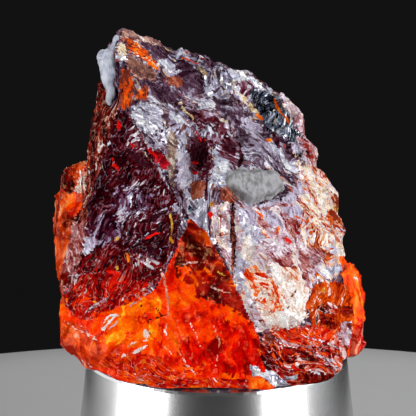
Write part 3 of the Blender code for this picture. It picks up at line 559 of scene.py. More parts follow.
# Strokes on them: palette, width in pixels and path. A stroke covers the flakes under it in
# part, and whole where it is one of these; its half width at its ends and what its middle adds
WHOLE_STROKES = ("bright red", "bright orange", "gold", "crack", "maroon", "veil")
STROKE_STRENGTH = 0.64
STROKE_BORDER = 0.9
STROKE_END = 0.25
STROKE_BELLY = 0.3
# The silver and white strokes are painted glints along cleavage faces and edges
STROKES = (
    ("ember", 3, (97, 64, 92, 84, 89, 110, 88, 132)),
    ("bright orange", 3, (130, 48, 137, 50, 143, 56)),
    ("bright orange", 3, (148, 60, 154, 66, 158, 69)),
    ("rust", 5, (170, 78, 177, 82, 182, 84)),
    ("bright orange", 3, (182, 58, 193, 60, 199, 64)),
    ("bright orange", 2, (128, 76, 131, 84, 126, 94, 128, 106)),
    ("white glint", 4, (168, 70, 176, 72, 184, 70)),
    ("white glint", 3, (123, 52, 121, 62, 120, 72)),
    ("straw", 3, (157, 38, 166, 45, 172, 52)),
    ("straw", 4, (196, 66, 203, 71, 208, 76)),
    ("silver glint", 5, (166, 64, 172, 58, 182, 54)),
    ("silver glint", 4, (150, 96, 162, 104, 176, 108, 186, 116)),
    ("straw", 4, (234, 86, 243, 97, 252, 107, 261, 117)),
    ("bright orange", 3, (257, 114, 262, 119)),
    ("bright orange", 3, (267, 136, 272, 140)),
    ("bright orange", 3.5, (274, 100, 277, 107, 280, 112)),
    ("bright orange", 2.5, (281, 113, 286, 118, 289, 123)),
    ("orange", 2.5, (276, 91, 288, 93, 297, 101, 303, 113, 306, 126, 305, 137)),
    ("straw", 2, (290, 148, 296, 157, 302, 168)),
    ("orange", 2, (318, 166, 325, 172, 330, 182)),
    ("white glint", 5, (284, 160, 288, 170, 292, 182)),
    ("maroon", 5, (273, 134, 280, 146)),
    ("lavender", 3, (236, 124, 248, 131, 260, 139, 272, 150)),
    ("straw", 3, (180, 102, 186, 112, 196, 122)),
    ("straw", 3, (218, 116, 226, 120, 231, 127)),
    ("crimson", 2, (184, 118, 194, 128, 202, 138, 206, 144)),
    ("bright red", 4, (118, 121, 119, 130)),
    ("bright red", 2.5, (149, 150, 155, 156, 158, 162)),
    ("bright red", 2.5, (199, 138, 203, 140)),
    ("bright red", 2.5, (193, 161, 198, 163)),
    ("bright red", 2.5, (192, 170, 197, 172)),
    ("bright red", 2.5, (112, 158, 114, 166, 118, 170)),
    ("bright red", 2, (130, 142, 134, 148)),
    ("bright red", 5, (209, 212, 210, 217)),
    ("gold", 3, (211, 201, 210, 207)),
    ("tan", 2, (132, 142, 142, 150, 152, 162, 162, 176)),
    ("lavender", 3, (156, 164, 163, 176, 168, 190)),
    ("ribs", 8, (172, 206, 182, 214, 190, 210)),
    ("pit", 6, (190, 206, 195, 216)),
    ("maroon", 3, (206, 168, 205, 186, 206, 200)),
    ("maroon", 4, (240, 144, 242, 158, 238, 168)),
    ("rust", 2, (221, 210, 220, 228, 222, 250)),
    ("crimson", 1.5, (217, 216, 216, 236, 218, 250)),
    ("maroon", 4, (233, 204, 232, 222, 234, 244, 233, 270)),
    ("rust", 3, (232, 212, 233, 240, 232, 280)),
    ("blue pale", 4, (240, 206, 242, 224, 240, 244)),
    ("lavender", 1.6, (160, 221, 150, 230, 141, 238, 132, 247, 122, 252)),
    ("lavender", 1.6, (180, 200, 168, 208, 154, 214, 146, 224)),
    ("lavender", 1.2, (146, 248, 154, 245, 161, 250, 158, 258)),
    ("lavender", 1.2, (132, 196, 136, 206, 146, 210)),
    ("lavender", 1.8, (104, 214, 98, 226, 92, 240)),
    ("lavender", 1.4, (120, 206, 112, 220, 104, 232, 98, 246)),
    ("maroon", 10, (148, 250, 154, 254)),
    ("maroon", 6, (148, 222, 160, 214)),
    ("maroon", 7, (128, 150, 148, 168)),
    ("bright red", 2.5, (145, 239, 152, 235, 160, 232)),
    ("gold", 2, (170, 214, 172, 226, 171, 236)),
    ("gold", 4, (170, 236, 173, 244)),
    ("gold", 2.5, (114, 240, 118, 237)),
    ("bright orange", 3, (127, 254, 128, 262)),
    ("gold", 2.5, (116, 266, 117, 270)),
    ("rosy", 3, (130, 256, 142, 262, 156, 270)),
    ("bright red", 3, (106, 272, 120, 273)),
    ("bright red", 2.5, (112, 281, 120, 283, 126, 282)),
    ("bright orange", 2, (92, 300, 97, 303)),
    ("bright orange", 2, (66, 297, 67, 302)),
    ("rosy", 2, (66, 276, 84, 274, 98, 272)),
    ("rosy", 3, (84, 314, 96, 304, 110, 296)),
    ("lavender", 2.5, (103, 333, 113, 325, 124, 314)),
    ("bright orange", 1.5, (101, 326, 107, 320, 113, 315)),
    ("rosy", 2, (122, 312, 132, 304, 142, 299)),
    ("veil", 1.4, (57, 316, 56, 336, 62, 350, 74, 360, 92, 367)),
    ("veil", 1.3, (64, 320, 76, 330, 88, 336, 98, 340)),
    ("veil", 1.2, (80, 324, 86, 334, 96, 336)),
    ("crack", 1.2, (140, 303, 144, 312, 148, 322, 147, 330, 156, 341)),
    ("crack", 1.2, (156, 308, 162, 316, 149, 320)),
    ("crack", 1.2, (162, 316, 170, 314)),
    ("veil", 2, (158, 264, 163, 276, 167, 290, 168, 304, 169, 319)),
    ("veil", 1.4, (168, 322, 165, 330, 168, 338)),
    ("veil", 1.3, (178, 350, 186, 364, 196, 374)),
    ("veil", 1.2, (190, 322, 196, 334, 200, 346)),
    ("veil", 1.2, (214, 326, 219, 340, 218, 352, 216, 366)),
    ("veil", 5, (145, 330, 147, 337)),
    ("cream", 4, (131, 353, 139, 350, 147, 345)),
    ("cream", 3, (127, 348, 132, 343, 137, 341)),
    ("cream", 2.5, (140, 343, 145, 340, 149, 341)),
    ("veil", 1.2, (163, 345, 172, 354)),
    ("veil", 1.6, (210, 286, 220, 291, 233, 293)),
    ("veil", 1.1, (180, 264, 192, 263, 206, 262)),
    ("bright orange", 2.5, (203, 266, 208, 272, 213, 277)),
    ("gold", 1.5, (216, 270, 221, 274, 226, 277)),
    ("rim", 2.5, (206, 274, 214, 276)),
    ("rosy", 5, (248, 206, 264, 208, 280, 204, 294, 205)),
    ("rosy", 5, (245, 290, 252, 304, 260, 320, 268, 331)),
    ("white glint", 4, (244, 284, 250, 298, 256, 312)),
    ("bright orange", 2.5, (256, 211, 264, 217)),
    ("rust", 1.5, (240, 204, 252, 210, 258, 216)),
    ("orange", 4, (280, 226, 277, 234)),
    ("rust", 2, (288, 222, 294, 234, 298, 248)),
    ("crimson", 2, (294, 224, 300, 236, 306, 240)),
    ("bright red", 3.5, (286, 238, 291, 242)),
    ("orange", 1.6, (290, 214, 300, 218, 308, 222, 312, 216)),
    ("rust", 1.6, (304, 206, 311, 213, 306, 221)),
    ("orange", 2, (280, 176, 290, 188, 300, 198)),
    ("rust", 1.5, (268, 248, 276, 262, 284, 270)),
    ("orange", 2.5, (304, 188, 314, 196, 318, 206)),
    ("orange", 3, (322, 222, 330, 226, 340, 222)),
    ("gold", 4, (335, 207, 342, 213)),
    ("bright red", 2, (345, 212, 348, 226)),
    ("orange", 3, (322, 178, 332, 172)),
    ("rust", 3, (324, 186, 336, 194, 340, 204)),
    ("orange", 3, (326, 245, 334, 249)),
    ("rust", 2.5, (302, 270, 312, 264, 320, 262)),
    ("rust", 2, (310, 254, 316, 244, 322, 250)),
    ("bright orange", 2, (345, 238, 350, 250, 353, 258)),
    ("orange", 2.5, (310, 282, 318, 274, 324, 278)),
    ("rust", 2, (289, 300, 293, 295, 297, 289)),
    ("rust", 1.8, (284, 312, 288, 308, 291, 304)),
    ("crimson", 1.6, (280, 211, 285, 220, 287, 232)),
    ("crimson", 1.4, (305, 208, 304, 216, 302, 224)),
    ("crimson", 1.4, (276, 239, 280, 244, 284, 244)),
    ("white glint", 4, (174, 51, 184, 54, 196, 60, 204, 66)),
    ("white glint", 3.5, (214, 70, 226, 68, 238, 72, 248, 79)),
    ("white glint", 4, (252, 82, 266, 88, 280, 96)),
    ("rosy", 3, (313, 136, 328, 160, 342, 184, 349, 206, 353, 228, 356, 258)),
    ("maroon", 3.5, (306, 150, 311, 156)),
    ("rosy", 2.5, (262, 331, 276, 338, 292, 344, 314, 349)),
    ("white glint", 1.8, (268, 334, 278, 342, 290, 347, 306, 352)),
    ("white glint", 2, (302, 336, 322, 341, 344, 350)),
    ("rosy", 2, (306, 356, 320, 361, 334, 366)),
    ("dark red", 4, (284, 346, 300, 352, 314, 358, 330, 360)),
    ("dark red", 3, (268, 344, 280, 350, 290, 360)),
    ("white glint", 2, (310, 354, 326, 358, 340, 358)),
    ("white glint", 2.5, (312, 368, 318, 372, 324, 376)),
    ("bright red", 4, (292, 366, 304, 370)),
    ("white glint", 2.5, (328, 360, 336, 366, 344, 370)),
    ("gold", 2.5, (322, 292, 326, 286)),
    ("white glint", 2.5, (352, 276, 359, 281)),
    ("veil", 3, (373, 282, 376, 298, 374, 318)),
    ("veil", 2, (364, 330, 360, 346, 354, 358)),
)

# The grains: the turn of a flake's own axes in degrees, and its length along each
GRAINS = {
    "even": ((0, 20, 0), (1.5, 1.0, 1.1)),
    "upright": ((0, 5, 0), (0.7, 0.9, 2.6)),
    "slant": ((0, 42, 0), (2.0, 1.0, 0.8)),
    "rising": ((0, -56, 0), (1.7, 0.9, 0.7)),
    "across": ((0, 24, 0), (3.2, 1.0, 0.7)),
}


def smooth(values, low, high):
    """Nought below low, one above high, and a smooth rise in between."""
    share = np.clip((values - low) / (high - low), 0.0, 1.0)
    return share * share * (3.0 - 2.0 * share)


def to_segment(points, start, end):
    """Where along a segment, from 0 to 1, it comes nearest to each point, and how near."""
    along = end - start
    share = np.clip(((points - start) @ along) / (along @ along), 0.0, 1.0)
    away = points - (start + share[:, None] * along)
    return share, np.hypot(away[:, 0], away[:, 1])


def outline_depth(points, outline):
    """How far each point lies inside a closed outline, with what lies outside below nought."""
    corners = np.reshape(outline, (-1, 2)).astype(float)
    inside = np.zeros(len(points), bool)
    nearest = np.full(len(points), np.inf)
    for start, end in zip(corners, np.roll(corners, -1, axis=0)):
        nearest = np.minimum(nearest, to_segment(points, start, end)[1])
        if end[1] == start[1]:
            continue
        crosses = (start[1] > points[:, 1]) != (end[1] > points[:, 1])
        crossing = start[0] + (points[:, 1] - start[1]) / (end[1] - start[1]) * (end[0] - start[0])
        inside ^= crosses & (points[:, 0] < crossing)
    return np.where(inside, nearest, -nearest)


def stroke_depth(points, path, width):
    """How far each point lies inside a stroke that thins out towards its two ends."""
    deepest = np.full(len(points), -np.inf)
    corners = np.reshape(path, (-1, 2)).astype(float)
    last = len(corners) - 1
    for number, (start, end) in enumerate(zip(corners[:-1], corners[1:])):
        share, away = to_segment(points, start, end)
        half = width * (STROKE_END + STROKE_BELLY * np.sin(np.pi * (number + share) / last))
        deepest = np.maximum(deepest, half - away)
    return deepest


def to_view(points):
    """Points in millimetres as pixels of the frontal view."""
    right, up, towards = (np.array(axis) for axis in view_axes())
    offset = points - (np.array(AIM) + towards * CAMERA_DISTANCE)
    depth = -(offset @ towards)
    scale = CAMERA_DISTANCE / MM_PER_PIXEL
    return np.stack([
        VIEW_WIDTH / 2 + (offset @ right) / depth * scale,
        VIEW_WIDTH / 2 - (offset @ up) / depth * scale,
    ], axis=1)


class Skin:
    """The stone's fine mesh as arrays, in millimetres."""

    def __init__(self, obj):
        self.mesh = obj.data
        self.read()

    def read(self):
        count = len(self.mesh.vertices)
        self.points = np.empty(count * 3)
        self.normals = np.empty(count * 3)
        self.mesh.vertices.foreach_get("co", self.points)
        self.mesh.vertices.foreach_get("normal", self.normals)
        self.points = self.points.reshape(-1, 3) / MM
        self.normals = self.normals.reshape(-1, 3)

    def write(self):
        self.mesh.vertices.foreach_set("co", (self.points * MM).ravel())
        self.mesh.update()

    def store(self, name, values):
        layer = self.mesh.attributes.new(name, "FLOAT", "POINT")
        layer.data.foreach_set("value", values.astype(np.float32))


# The facets, coarse then fine: how far apart, how much they lean towards the cleavage, how deep
# they reach and how they stretch, in millimetres
FACETS = (
    {"spacing": 2.0, "lean": 0.5, "reach": 0.22, "stretch": (1.0, 1.0, 0.8), "seed": 3},
    {"spacing": 0.9, "lean": 0.5, "reach": 0.10, "stretch": (1.0, 1.0, 1.0), "seed": 7},
)
# How much chance has in the choice of plane; how deep a facet sinks, and how far it moves the
# skin in and out, as shares of its reach; and the least by which skin and facet count as facing
# the same way, which keeps the moves short where they don't
FACET_CHANCE = 0.25
FACET_SINK = 0.6
FACET_MOVES = (-1.6, 0.5)
FACET_SLANT = 0.5
# The height over which they fade out at the foot
FOOT_FADE = (0.2, 1.5)


def cleavage_planes():
    """The twelve outward directions of sphalerite's perfect cleavage."""
    turn = LATTICE.to_matrix()
    planes = []
    for axis in range(3):
        for first in (-1.0, 1.0):
            for second in (-1.0, 1.0):
                plane = [first, second]
                plane.insert(axis, 0.0)
                planes.append(turn @ Vector(plane).normalized())
    return np.array(planes)


def nearest_seeds(points, spacing, seed):
    """The number of the nearest of a cloud of scattered seeds, for each point."""
    rng = np.random.default_rng(seed)
    low, high = points.min(0) - spacing, points.max(0) + spacing
    counts = np.ceil((high - low) / spacing).astype(int)
    grid = np.stack(np.meshgrid(*[np.arange(n) for n in counts], indexing="ij"), -1).reshape(-1, 3)
    seeds = low + (grid + rng.random(grid.shape)) * spacing
    tree = KDTree(len(seeds))
    for number, place in enumerate(seeds):
        tree.insert(place, number)
    tree.balance()
    return np.array([tree.find(point)[1] for point in points])


def cut_facets(skin, spacing, lean, reach, stretch, seed):
    """Turns patches of the skin into flat facets that lean towards the cleavage planes."""
    owner = nearest_seeds(skin.points * stretch, spacing, seed)
    _, owner = np.unique(owner, return_inverse=True)
    count = np.bincount(owner)
    centre = np.stack([np.bincount(owner, skin.points[:, i]) for i in range(3)], 1) / count[:, None]
    facing = np.stack([np.bincount(owner, skin.normals[:, i]) for i in range(3)], 1)
    facing /= np.linalg.norm(facing, axis=1)[:, None] + 1e-9
    planes = cleavage_planes()
    rng = np.random.default_rng(seed + 1)
    liking = facing @ planes.T + rng.uniform(0.0, FACET_CHANCE, (len(count), len(planes)))
    face = facing * (1.0 - lean) + planes[liking.argmax(1)] * lean
    face /= np.linalg.norm(face, axis=1)[:, None]
    sink = rng.uniform(0.0, reach * FACET_SINK, len(count))
    rise = ((centre[owner] - skin.points) * face[owner]).sum(1)
    away = rise / np.maximum((skin.normals * face[owner]).sum(1), FACET_SLANT)
    away = np.clip(away - sink[owner], *[move * reach for move in FACET_MOVES])
    height = skin.points[:, 2] - PEDESTAL_TOP
    skin.points += skin.normals * (away * smooth(height, *FOOT_FADE))[:, None]


class Paint:
    """How much of each palette every vertex carries, laid on in layers."""

    def __init__(self, count):
        self.names = list(CLEAVED) + list(CLEAR)
        self.shares = np.zeros((len(self.names), count))
        self.shares[self.names.index(BASE)] = 1.0

    def lay(self, palette, depth, border, strength):
        """Lays a palette on where depth is above nought, with a soft border."""
        cover = smooth(depth, -border, border) * strength
        self.shares *= 1.0 - cover
        self.shares[self.names.index(palette)] += cover

    def of_each(self, table, usual):
        """A number that is given for some palettes, blended at each vertex."""
        values = np.array([table.get(name, usual) for name in self.names])
        return (self.shares * values[:, None]).sum(0)


def paint_stone(skin):
    pixels = to_view(skin.points)
    front = smooth(skin.normals @ np.array(view_axes()[2]), -SILHOUETTE, SILHOUETTE)
    paint = Paint(len(front))
    above = skin.points - (0.0, 0.0, PEDESTAL_TOP)
    for palette, centre, radius in SIDE_BALLS:
        depth = radius - np.linalg.norm(above - centre, axis=1)
        paint.lay(palette, depth, SIDE_BORDER, 1.0 - front)
    for palette, border, outline in AREAS:
        paint.lay(palette, outline_depth(pixels, outline), border * AREA_SOFTNESS, front)
    for palette, width, path in STROKES:
        strength = 1.0 if palette in WHOLE_STROKES else STROKE_STRENGTH
        paint.lay(palette, stroke_depth(pixels, path, width), STROKE_BORDER, front * strength)
    return paint


def store_paint(skin, paint, group):
    """Stores each palette of a group as its share of itself and those before it."""
    carried = np.full(len(skin.points), 1e-6)
    for name in group:
        share = paint.shares[paint.names.index(name)]
        carried += share
        skin.store(name, share / carried)


def shown(colour, palette_name):
    """A palette's colour for the shader, at the palette's own brightness."""
    bright = BRIGHTNESS.get(palette_name, USUAL_BRIGHTNESS)
    return [value * bright for value in linear(colour)]


def palette_ramp(nodes, value, name, palette, crisp):
    """Picks a palette's colour by a value from 0 to 1. Its alpha says how much it glances."""
    ramp = nodes.add("ShaderNodeValToRGB", inputs={"Fac": value})
    ramp.color_ramp.interpolation = "CONSTANT" if crisp else "EASE"
    whole = sum(share for *_, share in palette.colours)
    stops = ramp.color_ramp.elements
    position = 0.0
    for number, (*colour, share) in enumerate(palette.colours):
        share /= whole
        # The ramp starts with two stops, and each further one begins at its end
        stop = stops[0] if number == 0 else stops[-1] if number == 1 else stops.new(0.99)
        stop.position = position if crisp else position + share / 2.0
        glance = min(1.0, palette.glint * sum(linear(colour)) / 3.0)
        stop.color = (*shown(colour, name), glance)
        position += share
    return ramp.outputs["Color"], ramp.outputs["Alpha"]


# The bends of the grain, coarse then fine: how many to a millimetre, how broken and how far
BENDS = ((0.22, 1.0, 5.0), (1.6, 2.0, 0.3))
# The flakes, in crisp and in clear stone: how many to a millimetre, and what makes their tone
FLAKE_SCALES = (1.2, 3.4)
TONE_OF_FLAKES = {True: (0.34, 0.46), False: (0.10, 0.12)}
TONE_OF_PATCH = {True: 1.5, False: 2.6}
PATCH_SCALE = {True: 0.35, False: 0.55}
PATCH_NOISE = (3.0, 0.55)
TONE_SPREAD = (-0.03, 1.03)
# The thin lines between them, and the noise and steps that break these up
LINE_SCALE = 1.5
LINE_WIDTH = 0.06
BROKEN_NOISE = (1.6, 3.0, 0.6)
BROKEN_STEP = (0.48, 0.54)
# How raggedly one palette ends in another
RAGGED_SCALE = 2.6
RAGGED_REACH = 0.6
PALETTE_STEP = (0.45, 0.55)
# The fine grit, partly painted sparkle that brightens the colour in fine specks: its noise, its
# steps, and what it adds to a least shade
GRIT_AND_SPARKLE_NOISE = (8.0, 4.0, 0.6)
GRIT_AND_SPARKLE_STEP = (0.3, 0.7)
GRIT_AND_SPARKLE = {True: (0.6, 0.68), False: (0.36, 0.82)}
# What glancing flakes add to the metal and the roughness, and the rest of the finish
GLANCE = 0.6
GLANCE_ROUGHNESS = 0.10
STONE_ROUGHNESS = 0.14
SPHALERITE_IOR = 2.37
SPECULAR = {True: 0.0, False: 0.03}
CLEAR_SPECULAR_TINT = (1.0, 0.35, 0.12, 1.0)
CLEAR_GLOW = 0.35
CLEAR_GLOW_RADIUS = (1.0, 0.25, 0.05)
CLEAR_GLOW_SCALE = 1.6
# The kinds of a palette's colour, glance, tilt, line, line colour and line strength
LAYER_KINDS = ("RGBA", "FLOAT", "VECTOR", "FLOAT", "RGBA", "FLOAT")
# What is taken off a random colour, so that it leans as often one way as the other
HALF = (0.5, 0.5, 0.5)


def grain_pattern(nodes, place, grain, crisp):
    """A random tone, a tilt and thin lines for one grain, from coarse and fine flakes."""
    turn, size = GRAINS[grain]
    where = nodes.add("ShaderNodeMapping", vector_type="TEXTURE", inputs={
        "Vector": place, "Rotation": tuple(math.radians(angle) for angle in turn), "Scale": size,
    }).outputs[0]
    tilt = (0.0, 0.0, 0.0)
    tone = 0.5 - sum(TONE_OF_FLAKES[crisp]) / 2.0 - TONE_OF_PATCH[crisp] / 2.0
    for scale, share in zip(FLAKE_SCALES, TONE_OF_FLAKES[crisp]):
        flakes = nodes.cells(where, scale)
        colour = flakes.outputs["Color"]
        tilt = nodes.vector("ADD", tilt, nodes.vector("SUBTRACT", colour, HALF))
        tone = nodes.math("MULTIPLY_ADD", nodes.channel(colour, 0), share, tone)
    patch_place = flakes.outputs["Position"] if crisp else where
    patch = nodes.noise(patch_place, PATCH_SCALE[crisp], *PATCH_NOISE)
    tone = nodes.math("MULTIPLY_ADD", patch, TONE_OF_PATCH[crisp], tone)
    edge = nodes.cells(where, LINE_SCALE, "DISTANCE_TO_EDGE").outputs["Distance"]
    line = nodes.math("SUBTRACT", 1.0, nodes.step(edge, 0.0, LINE_WIDTH))
    return nodes.step(tone, *TONE_SPREAD), tilt, line


def blend_palettes(nodes, bent, palettes, crisp):
    """The palettes' colour, glance, tilt, line, line colour and line strength, as painted."""
    patterns = {
        grain: grain_pattern(nodes, bent, grain, crisp)
        for grain in sorted({palette.grain for palette in palettes.values()})
    }
    ragged = nodes.channel(nodes.cells(bent, RAGGED_SCALE).outputs["Color"], 1)
    ragged = nodes.math("MULTIPLY", nodes.math("SUBTRACT", ragged, 0.5), RAGGED_REACH)
    layers = None
    for name, palette in palettes.items():
        tone, tilt, line = patterns[palette.grain]
        colour, glance = palette_ramp(nodes, tone, name, palette, crisp)
        line_colour = (*shown(palette.line_colour, name), 1.0)
        new = (colour, glance, tilt, line, line_colour, palette.line_share)
        if layers is None:
            layers = new
            continue
        share = nodes.math("ADD", nodes.attribute(name), ragged)
        cover = nodes.step(share, *PALETTE_STEP)
        layers = [nodes.mix(kind, cover, *pair) for kind, *pair in zip(LAYER_KINDS, layers, new)]
    return layers


def stone_material(name, palettes, crisp):
    nodes = Nodes(name)
    place = nodes.place()
    bend = (0.0, 0.0, 0.0)
    for scale, detail, reach in BENDS:
        cloud = nodes.vector("SUBTRACT", nodes.noise(place, scale, detail, output="Color"), HALF)
        bend = nodes.vector("ADD", bend, nodes.vector("MULTIPLY", cloud, (reach,) * 3))
    bent = nodes.vector("ADD", place, bend)
    layers = blend_palettes(nodes, bent, palettes, crisp)
    colour, glance, tilt, line, line_colour, line_share = layers
    broken = nodes.step(nodes.noise(place, *BROKEN_NOISE), *BROKEN_STEP)
    line = nodes.math("MULTIPLY", nodes.math("MULTIPLY", line, broken), line_share)
    colour = nodes.mix("RGBA", line, colour, line_colour)
    # Fine grit and painted sparkle: a fine noise brightens the colour in specks
    grit_and_sparkle = nodes.step(nodes.noise(place, *GRIT_AND_SPARKLE_NOISE), *GRIT_AND_SPARKLE_STEP)
    shade = nodes.math("MULTIPLY_ADD", grit_and_sparkle, *GRIT_AND_SPARKLE[crisp])
    facet = nodes.scaled(tilt, nodes.attribute("tilt"))
    normal = nodes.vector("ADD", nodes.add("ShaderNodeNewGeometry").outputs["Normal"], facet)
    rough = nodes.math("MULTIPLY_ADD", glance, GLANCE_ROUGHNESS, STONE_ROUGHNESS)
    inputs = nodes.shader.inputs
    nodes.feed(inputs["Base Color"], nodes.scaled(colour, shade))
    nodes.feed(inputs["Metallic"], nodes.math("MULTIPLY", glance, GLANCE, clamp=True))
    nodes.feed(inputs["Roughness"], rough)
    nodes.feed(inputs["Normal"], nodes.vector("NORMALIZE", normal))
    inputs["IOR"].default_value = SPHALERITE_IOR
    inputs["Specular IOR Level"].default_value = SPECULAR[crisp]
    if not crisp:
        nodes.feed(inputs["Transmission Weight"], nodes.attribute("clear"))
        inputs["Subsurface Weight"].default_value = CLEAR_GLOW
        inputs["Subsurface Radius"].default_value = CLEAR_GLOW_RADIUS
        inputs["Subsurface Scale"].default_value = CLEAR_GLOW_SCALE * MM
        inputs["Specular Tint"].default_value = CLEAR_SPECULAR_TINT
    return nodes.material


# The stone's skin: the grid of its sides in millimetres, which is halved where the skin turns
# this far to the frontal view; and lumps that fill it out, as centre above the pedestal and
# half sizes. Corners closer than the weld are one, and the lumps stay this far off the pedestal
STONE_VOXEL = 0.36
FRONT_FACING = 0.2
WELD = 0.01
OFF_PEDESTAL = 0.01
SHARP_ANGLE = math.radians(32)
LUMPS = (
    ((5.2, -10.3, 6.3), (1.3, 1.3, 1.3)),
    ((6.4, -11.7, 6.8), (3.0, 1.1, 1.5)),
    ((-16.5, -3.6, 5.6), (1.0, 1.8, 2.6)),
    ((-16.2, 6.8, 12.8), (2.25, 3.2, 4.4)),
    ((-10.2, 1.0, 35.39), (0.8, 0.8, 0.86)),
    ((-9.0, 1.3, 34.8), (0.9, 0.8, 0.9)),
    ((-10.9, -0.2, 34.0), (0.7, 0.9, 1.2)),
    ((-10.8, -0.6, 32.3), (0.7, 0.8, 1.3)),
    ((-10.7, -1.2, 30.6), (0.6, 0.7, 1.2)),
    ((7.6, -11.2, 1.3), (5.5, 3.7, 1.4)),
    ((11.2, -8.2, 1.2), (2.6, 3.2, 1.2)),
    ((14.6, -2.0, 1.8), (1.8, 2.8, 1.7)),
    ((14.6, -1.8, 4.4), (1.8, 2.6, 3.4)),
    ((-15.9, -4.9, 4.2), (1.5, 2.4, 3.2)),
    ((-12.9, -6.0, 0.9), (2.2, 3.0, 0.9)),
    ((-10.3, -8.8, 0.9), (2.4, 2.6, 0.9)),
    ((-7.4, -11.2, 0.9), (2.8, 2.4, 0.9)),
    ((-2.5, -12.9, 0.9), (4.0, 2.2, 0.9)),
    ((2.6, -12.9, 0.9), (3.6, 2.2, 0.9)),
    ((-4.4, 3.2, 32.6), (1.8, 1.0, 1.1)),
    ((-2.4, 3.8, 31.8), (2.0, 1.2, 1.2)),
    ((-0.2, 4.2, 30.6), (2.4, 1.4, 1.4)),
    ((2.2, 4.8, 29.9), (2.4, 1.5, 1.2)),
    ((9.0, 3.6, 24.3), (0.8, 1.6, 2.4)),
    ((9.4, 5.0, 22.0), (0.8, 1.4, 1.8)),
    ((10.2, 4.2, 20.7), (1.1, 1.6, 2.5)),
)


def copy_of(node, name):
    """A piece that starts from a CAD node's mesh."""
    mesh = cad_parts[node].data.copy()
    mesh.materials.clear()
    return add_piece(name, mesh)


def add_piece(name, mesh):
    piece = bpy.data.objects.new(name, mesh)
    bpy.context.scene.collection.objects.link(piece)
    return piece


def apply_modifiers(piece):
    graph = bpy.context.evaluated_depsgraph_get()
    mesh = bpy.data.meshes.new_from_object(piece.evaluated_get(graph))
    piece.modifiers.clear()
    piece.data = mesh


def remesh(piece, voxel):
    weld = piece.modifiers.new("Weld", "WELD")
    weld.merge_threshold = WELD * MM
    fine = piece.modifiers.new("Fine skin", "REMESH")
    fine.mode = "VOXEL"
    fine.voxel_size = voxel * MM
    apply_modifiers(piece)


def add_lumps(piece, lumps):
    lowest = (PEDESTAL_TOP + OFF_PEDESTAL) * MM
    mesh = bmesh.new()
    mesh.from_mesh(piece.data)
    for centre, half_sizes in lumps:
        place = Matrix.Translation((Vector(centre) + Vector((0.0, 0.0, PEDESTAL_TOP))) * MM)
        place = place @ Matrix.Diagonal((*half_sizes, 1.0))
        lump = bmesh.ops.create_icosphere(mesh, subdivisions=3, radius=MM, matrix=place)
        for corner in lump["verts"]:
            corner.co.z = max(corner.co.z, lowest)
    mesh.to_mesh(piece.data)
    mesh.free()


def refine_front(piece):
    """Halves the grid of the skin that the frontal view sees."""
    towards = view_axes()[2]
    mesh = bmesh.new()
    mesh.from_mesh(piece.data)
    front = [face for face in mesh.faces if face.normal.dot(towards) > FRONT_FACING]
    edges = {edge for face in front for edge in face.edges}
    bmesh.ops.subdivide_edges(mesh, edges=list(edges), cuts=1, use_grid_fill=True)
    mesh.to_mesh(piece.data)
    mesh.free()


def build_stone():
    stone = copy_of("sphalerite", "sphalerite_stone")
    add_lumps(stone, LUMPS)
    remesh(stone, STONE_VOXEL)
    refine_front(stone)
    skin = Skin(stone)
    paint = paint_stone(skin)
    for facets in FACETS:
        cut_facets(skin, **facets)
        skin.write()
        skin.read()
    store_paint(skin, paint, CLEAVED)
    store_paint(skin, paint, CLEAR)
    skin.store("clear", paint.of_each(CLEARNESS, USUAL_CLEARNESS))
    tilts = {name: palette.tilt for name, palette in (*CLEAVED.items(), *CLEAR.items())}
    skin.store("tilt", paint.of_each(tilts, 0.0))
    stone.data.shade_smooth()
    stone.data.set_sharp_from_angle(angle=SHARP_ANGLE)
    stone.data.materials.append(stone_material("cleaved sphalerite", CLEAVED, True))
    stone.data.materials.append(stone_material("clear sphalerite", CLEAR, False))
    is_clear = paint.shares[len(CLEAVED):].sum(0)
    for face in stone.data.polygons:
        clear_share = sum(is_clear[i] for i in face.vertices) / len(face.vertices)
        face.material_index = int(clear_share > 0.5)
    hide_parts("sphalerite")
    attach(stone, "root")


# The two calcites: name, lighter and darker colour on a screen, roughness, and how many clouds
# go to a millimetre along each axis
WAXY_CALCITE = ("waxy calcite", (180, 184, 198), (136, 140, 156), 0.35, (1.0, 1.0, 0.5))
MATT_CALCITE = ("matt calcite", (158, 158, 162), (106, 106, 108), 0.85, (1.2, 1.2, 0.7))
CALCITE_CLOUD = (1.6, 5.0, 0.6)
CALCITE_STEP = (0.32, 0.62)
CALCITE_ROUGHNESS_SPREAD = 0.2
CALCITE_BUMP = 0.15
CALCITE_IOR = 1.6
# The bead's swellings, as centre above the pedestal and half sizes; the grid of its skin, how
# often this is smoothed, and its waves, as how many to a millimetre and how high
BEAD_LUMPS = (
    ((-11.2, 0.4, 34.2), (0.6, 0.6, 0.6)),
    ((-10.9, 0.7, 34.9), (0.45, 0.5, 0.7)),
    ((-12.2, 0.0, 33.3), (0.9, 0.8, 0.9)),
    ((-11.3, -0.8, 31.5), (0.6, 0.6, 0.8)),
    ((-11.8, -1.2, 29.0), (0.35, 0.4, 0.9)),
)
BEAD_VOXEL = 0.12
BEAD_SMOOTHINGS = 6
BEAD_WAVES = ((0.8, 0.16), (2.2, 0.05))
# The patch is a crust: its outline in the frontal view, how deep inside it, in pixels, it
# rises, and how far outside it ends; the grid of its skin in millimetres, how far it stands
# out and reaches in, how thick it is, how far its grid goes past the solid, and its waves
PATCH_OUTLINE = (
    228, 178, 232, 172, 239, 171, 246, 168, 253, 171, 261, 169, 268, 172, 275, 170, 280, 174,
    284, 181, 285, 187, 279, 190, 274, 195, 267, 196, 260, 199, 252, 202, 246, 198, 240, 194,
    235, 190, 229, 186,
)
PATCH_RISE = (-2.0, 4.0)
PATCH_END = -3.0
PATCH_STEP = 0.1
PATCH_OUT = 0.25
PATCH_IN = 0.7
PATCH_THICKNESS = 0.5
PATCH_MARGIN = 1.0
PATCH_WAVES = ((0.9, 0.14), (3.0, 0.04))


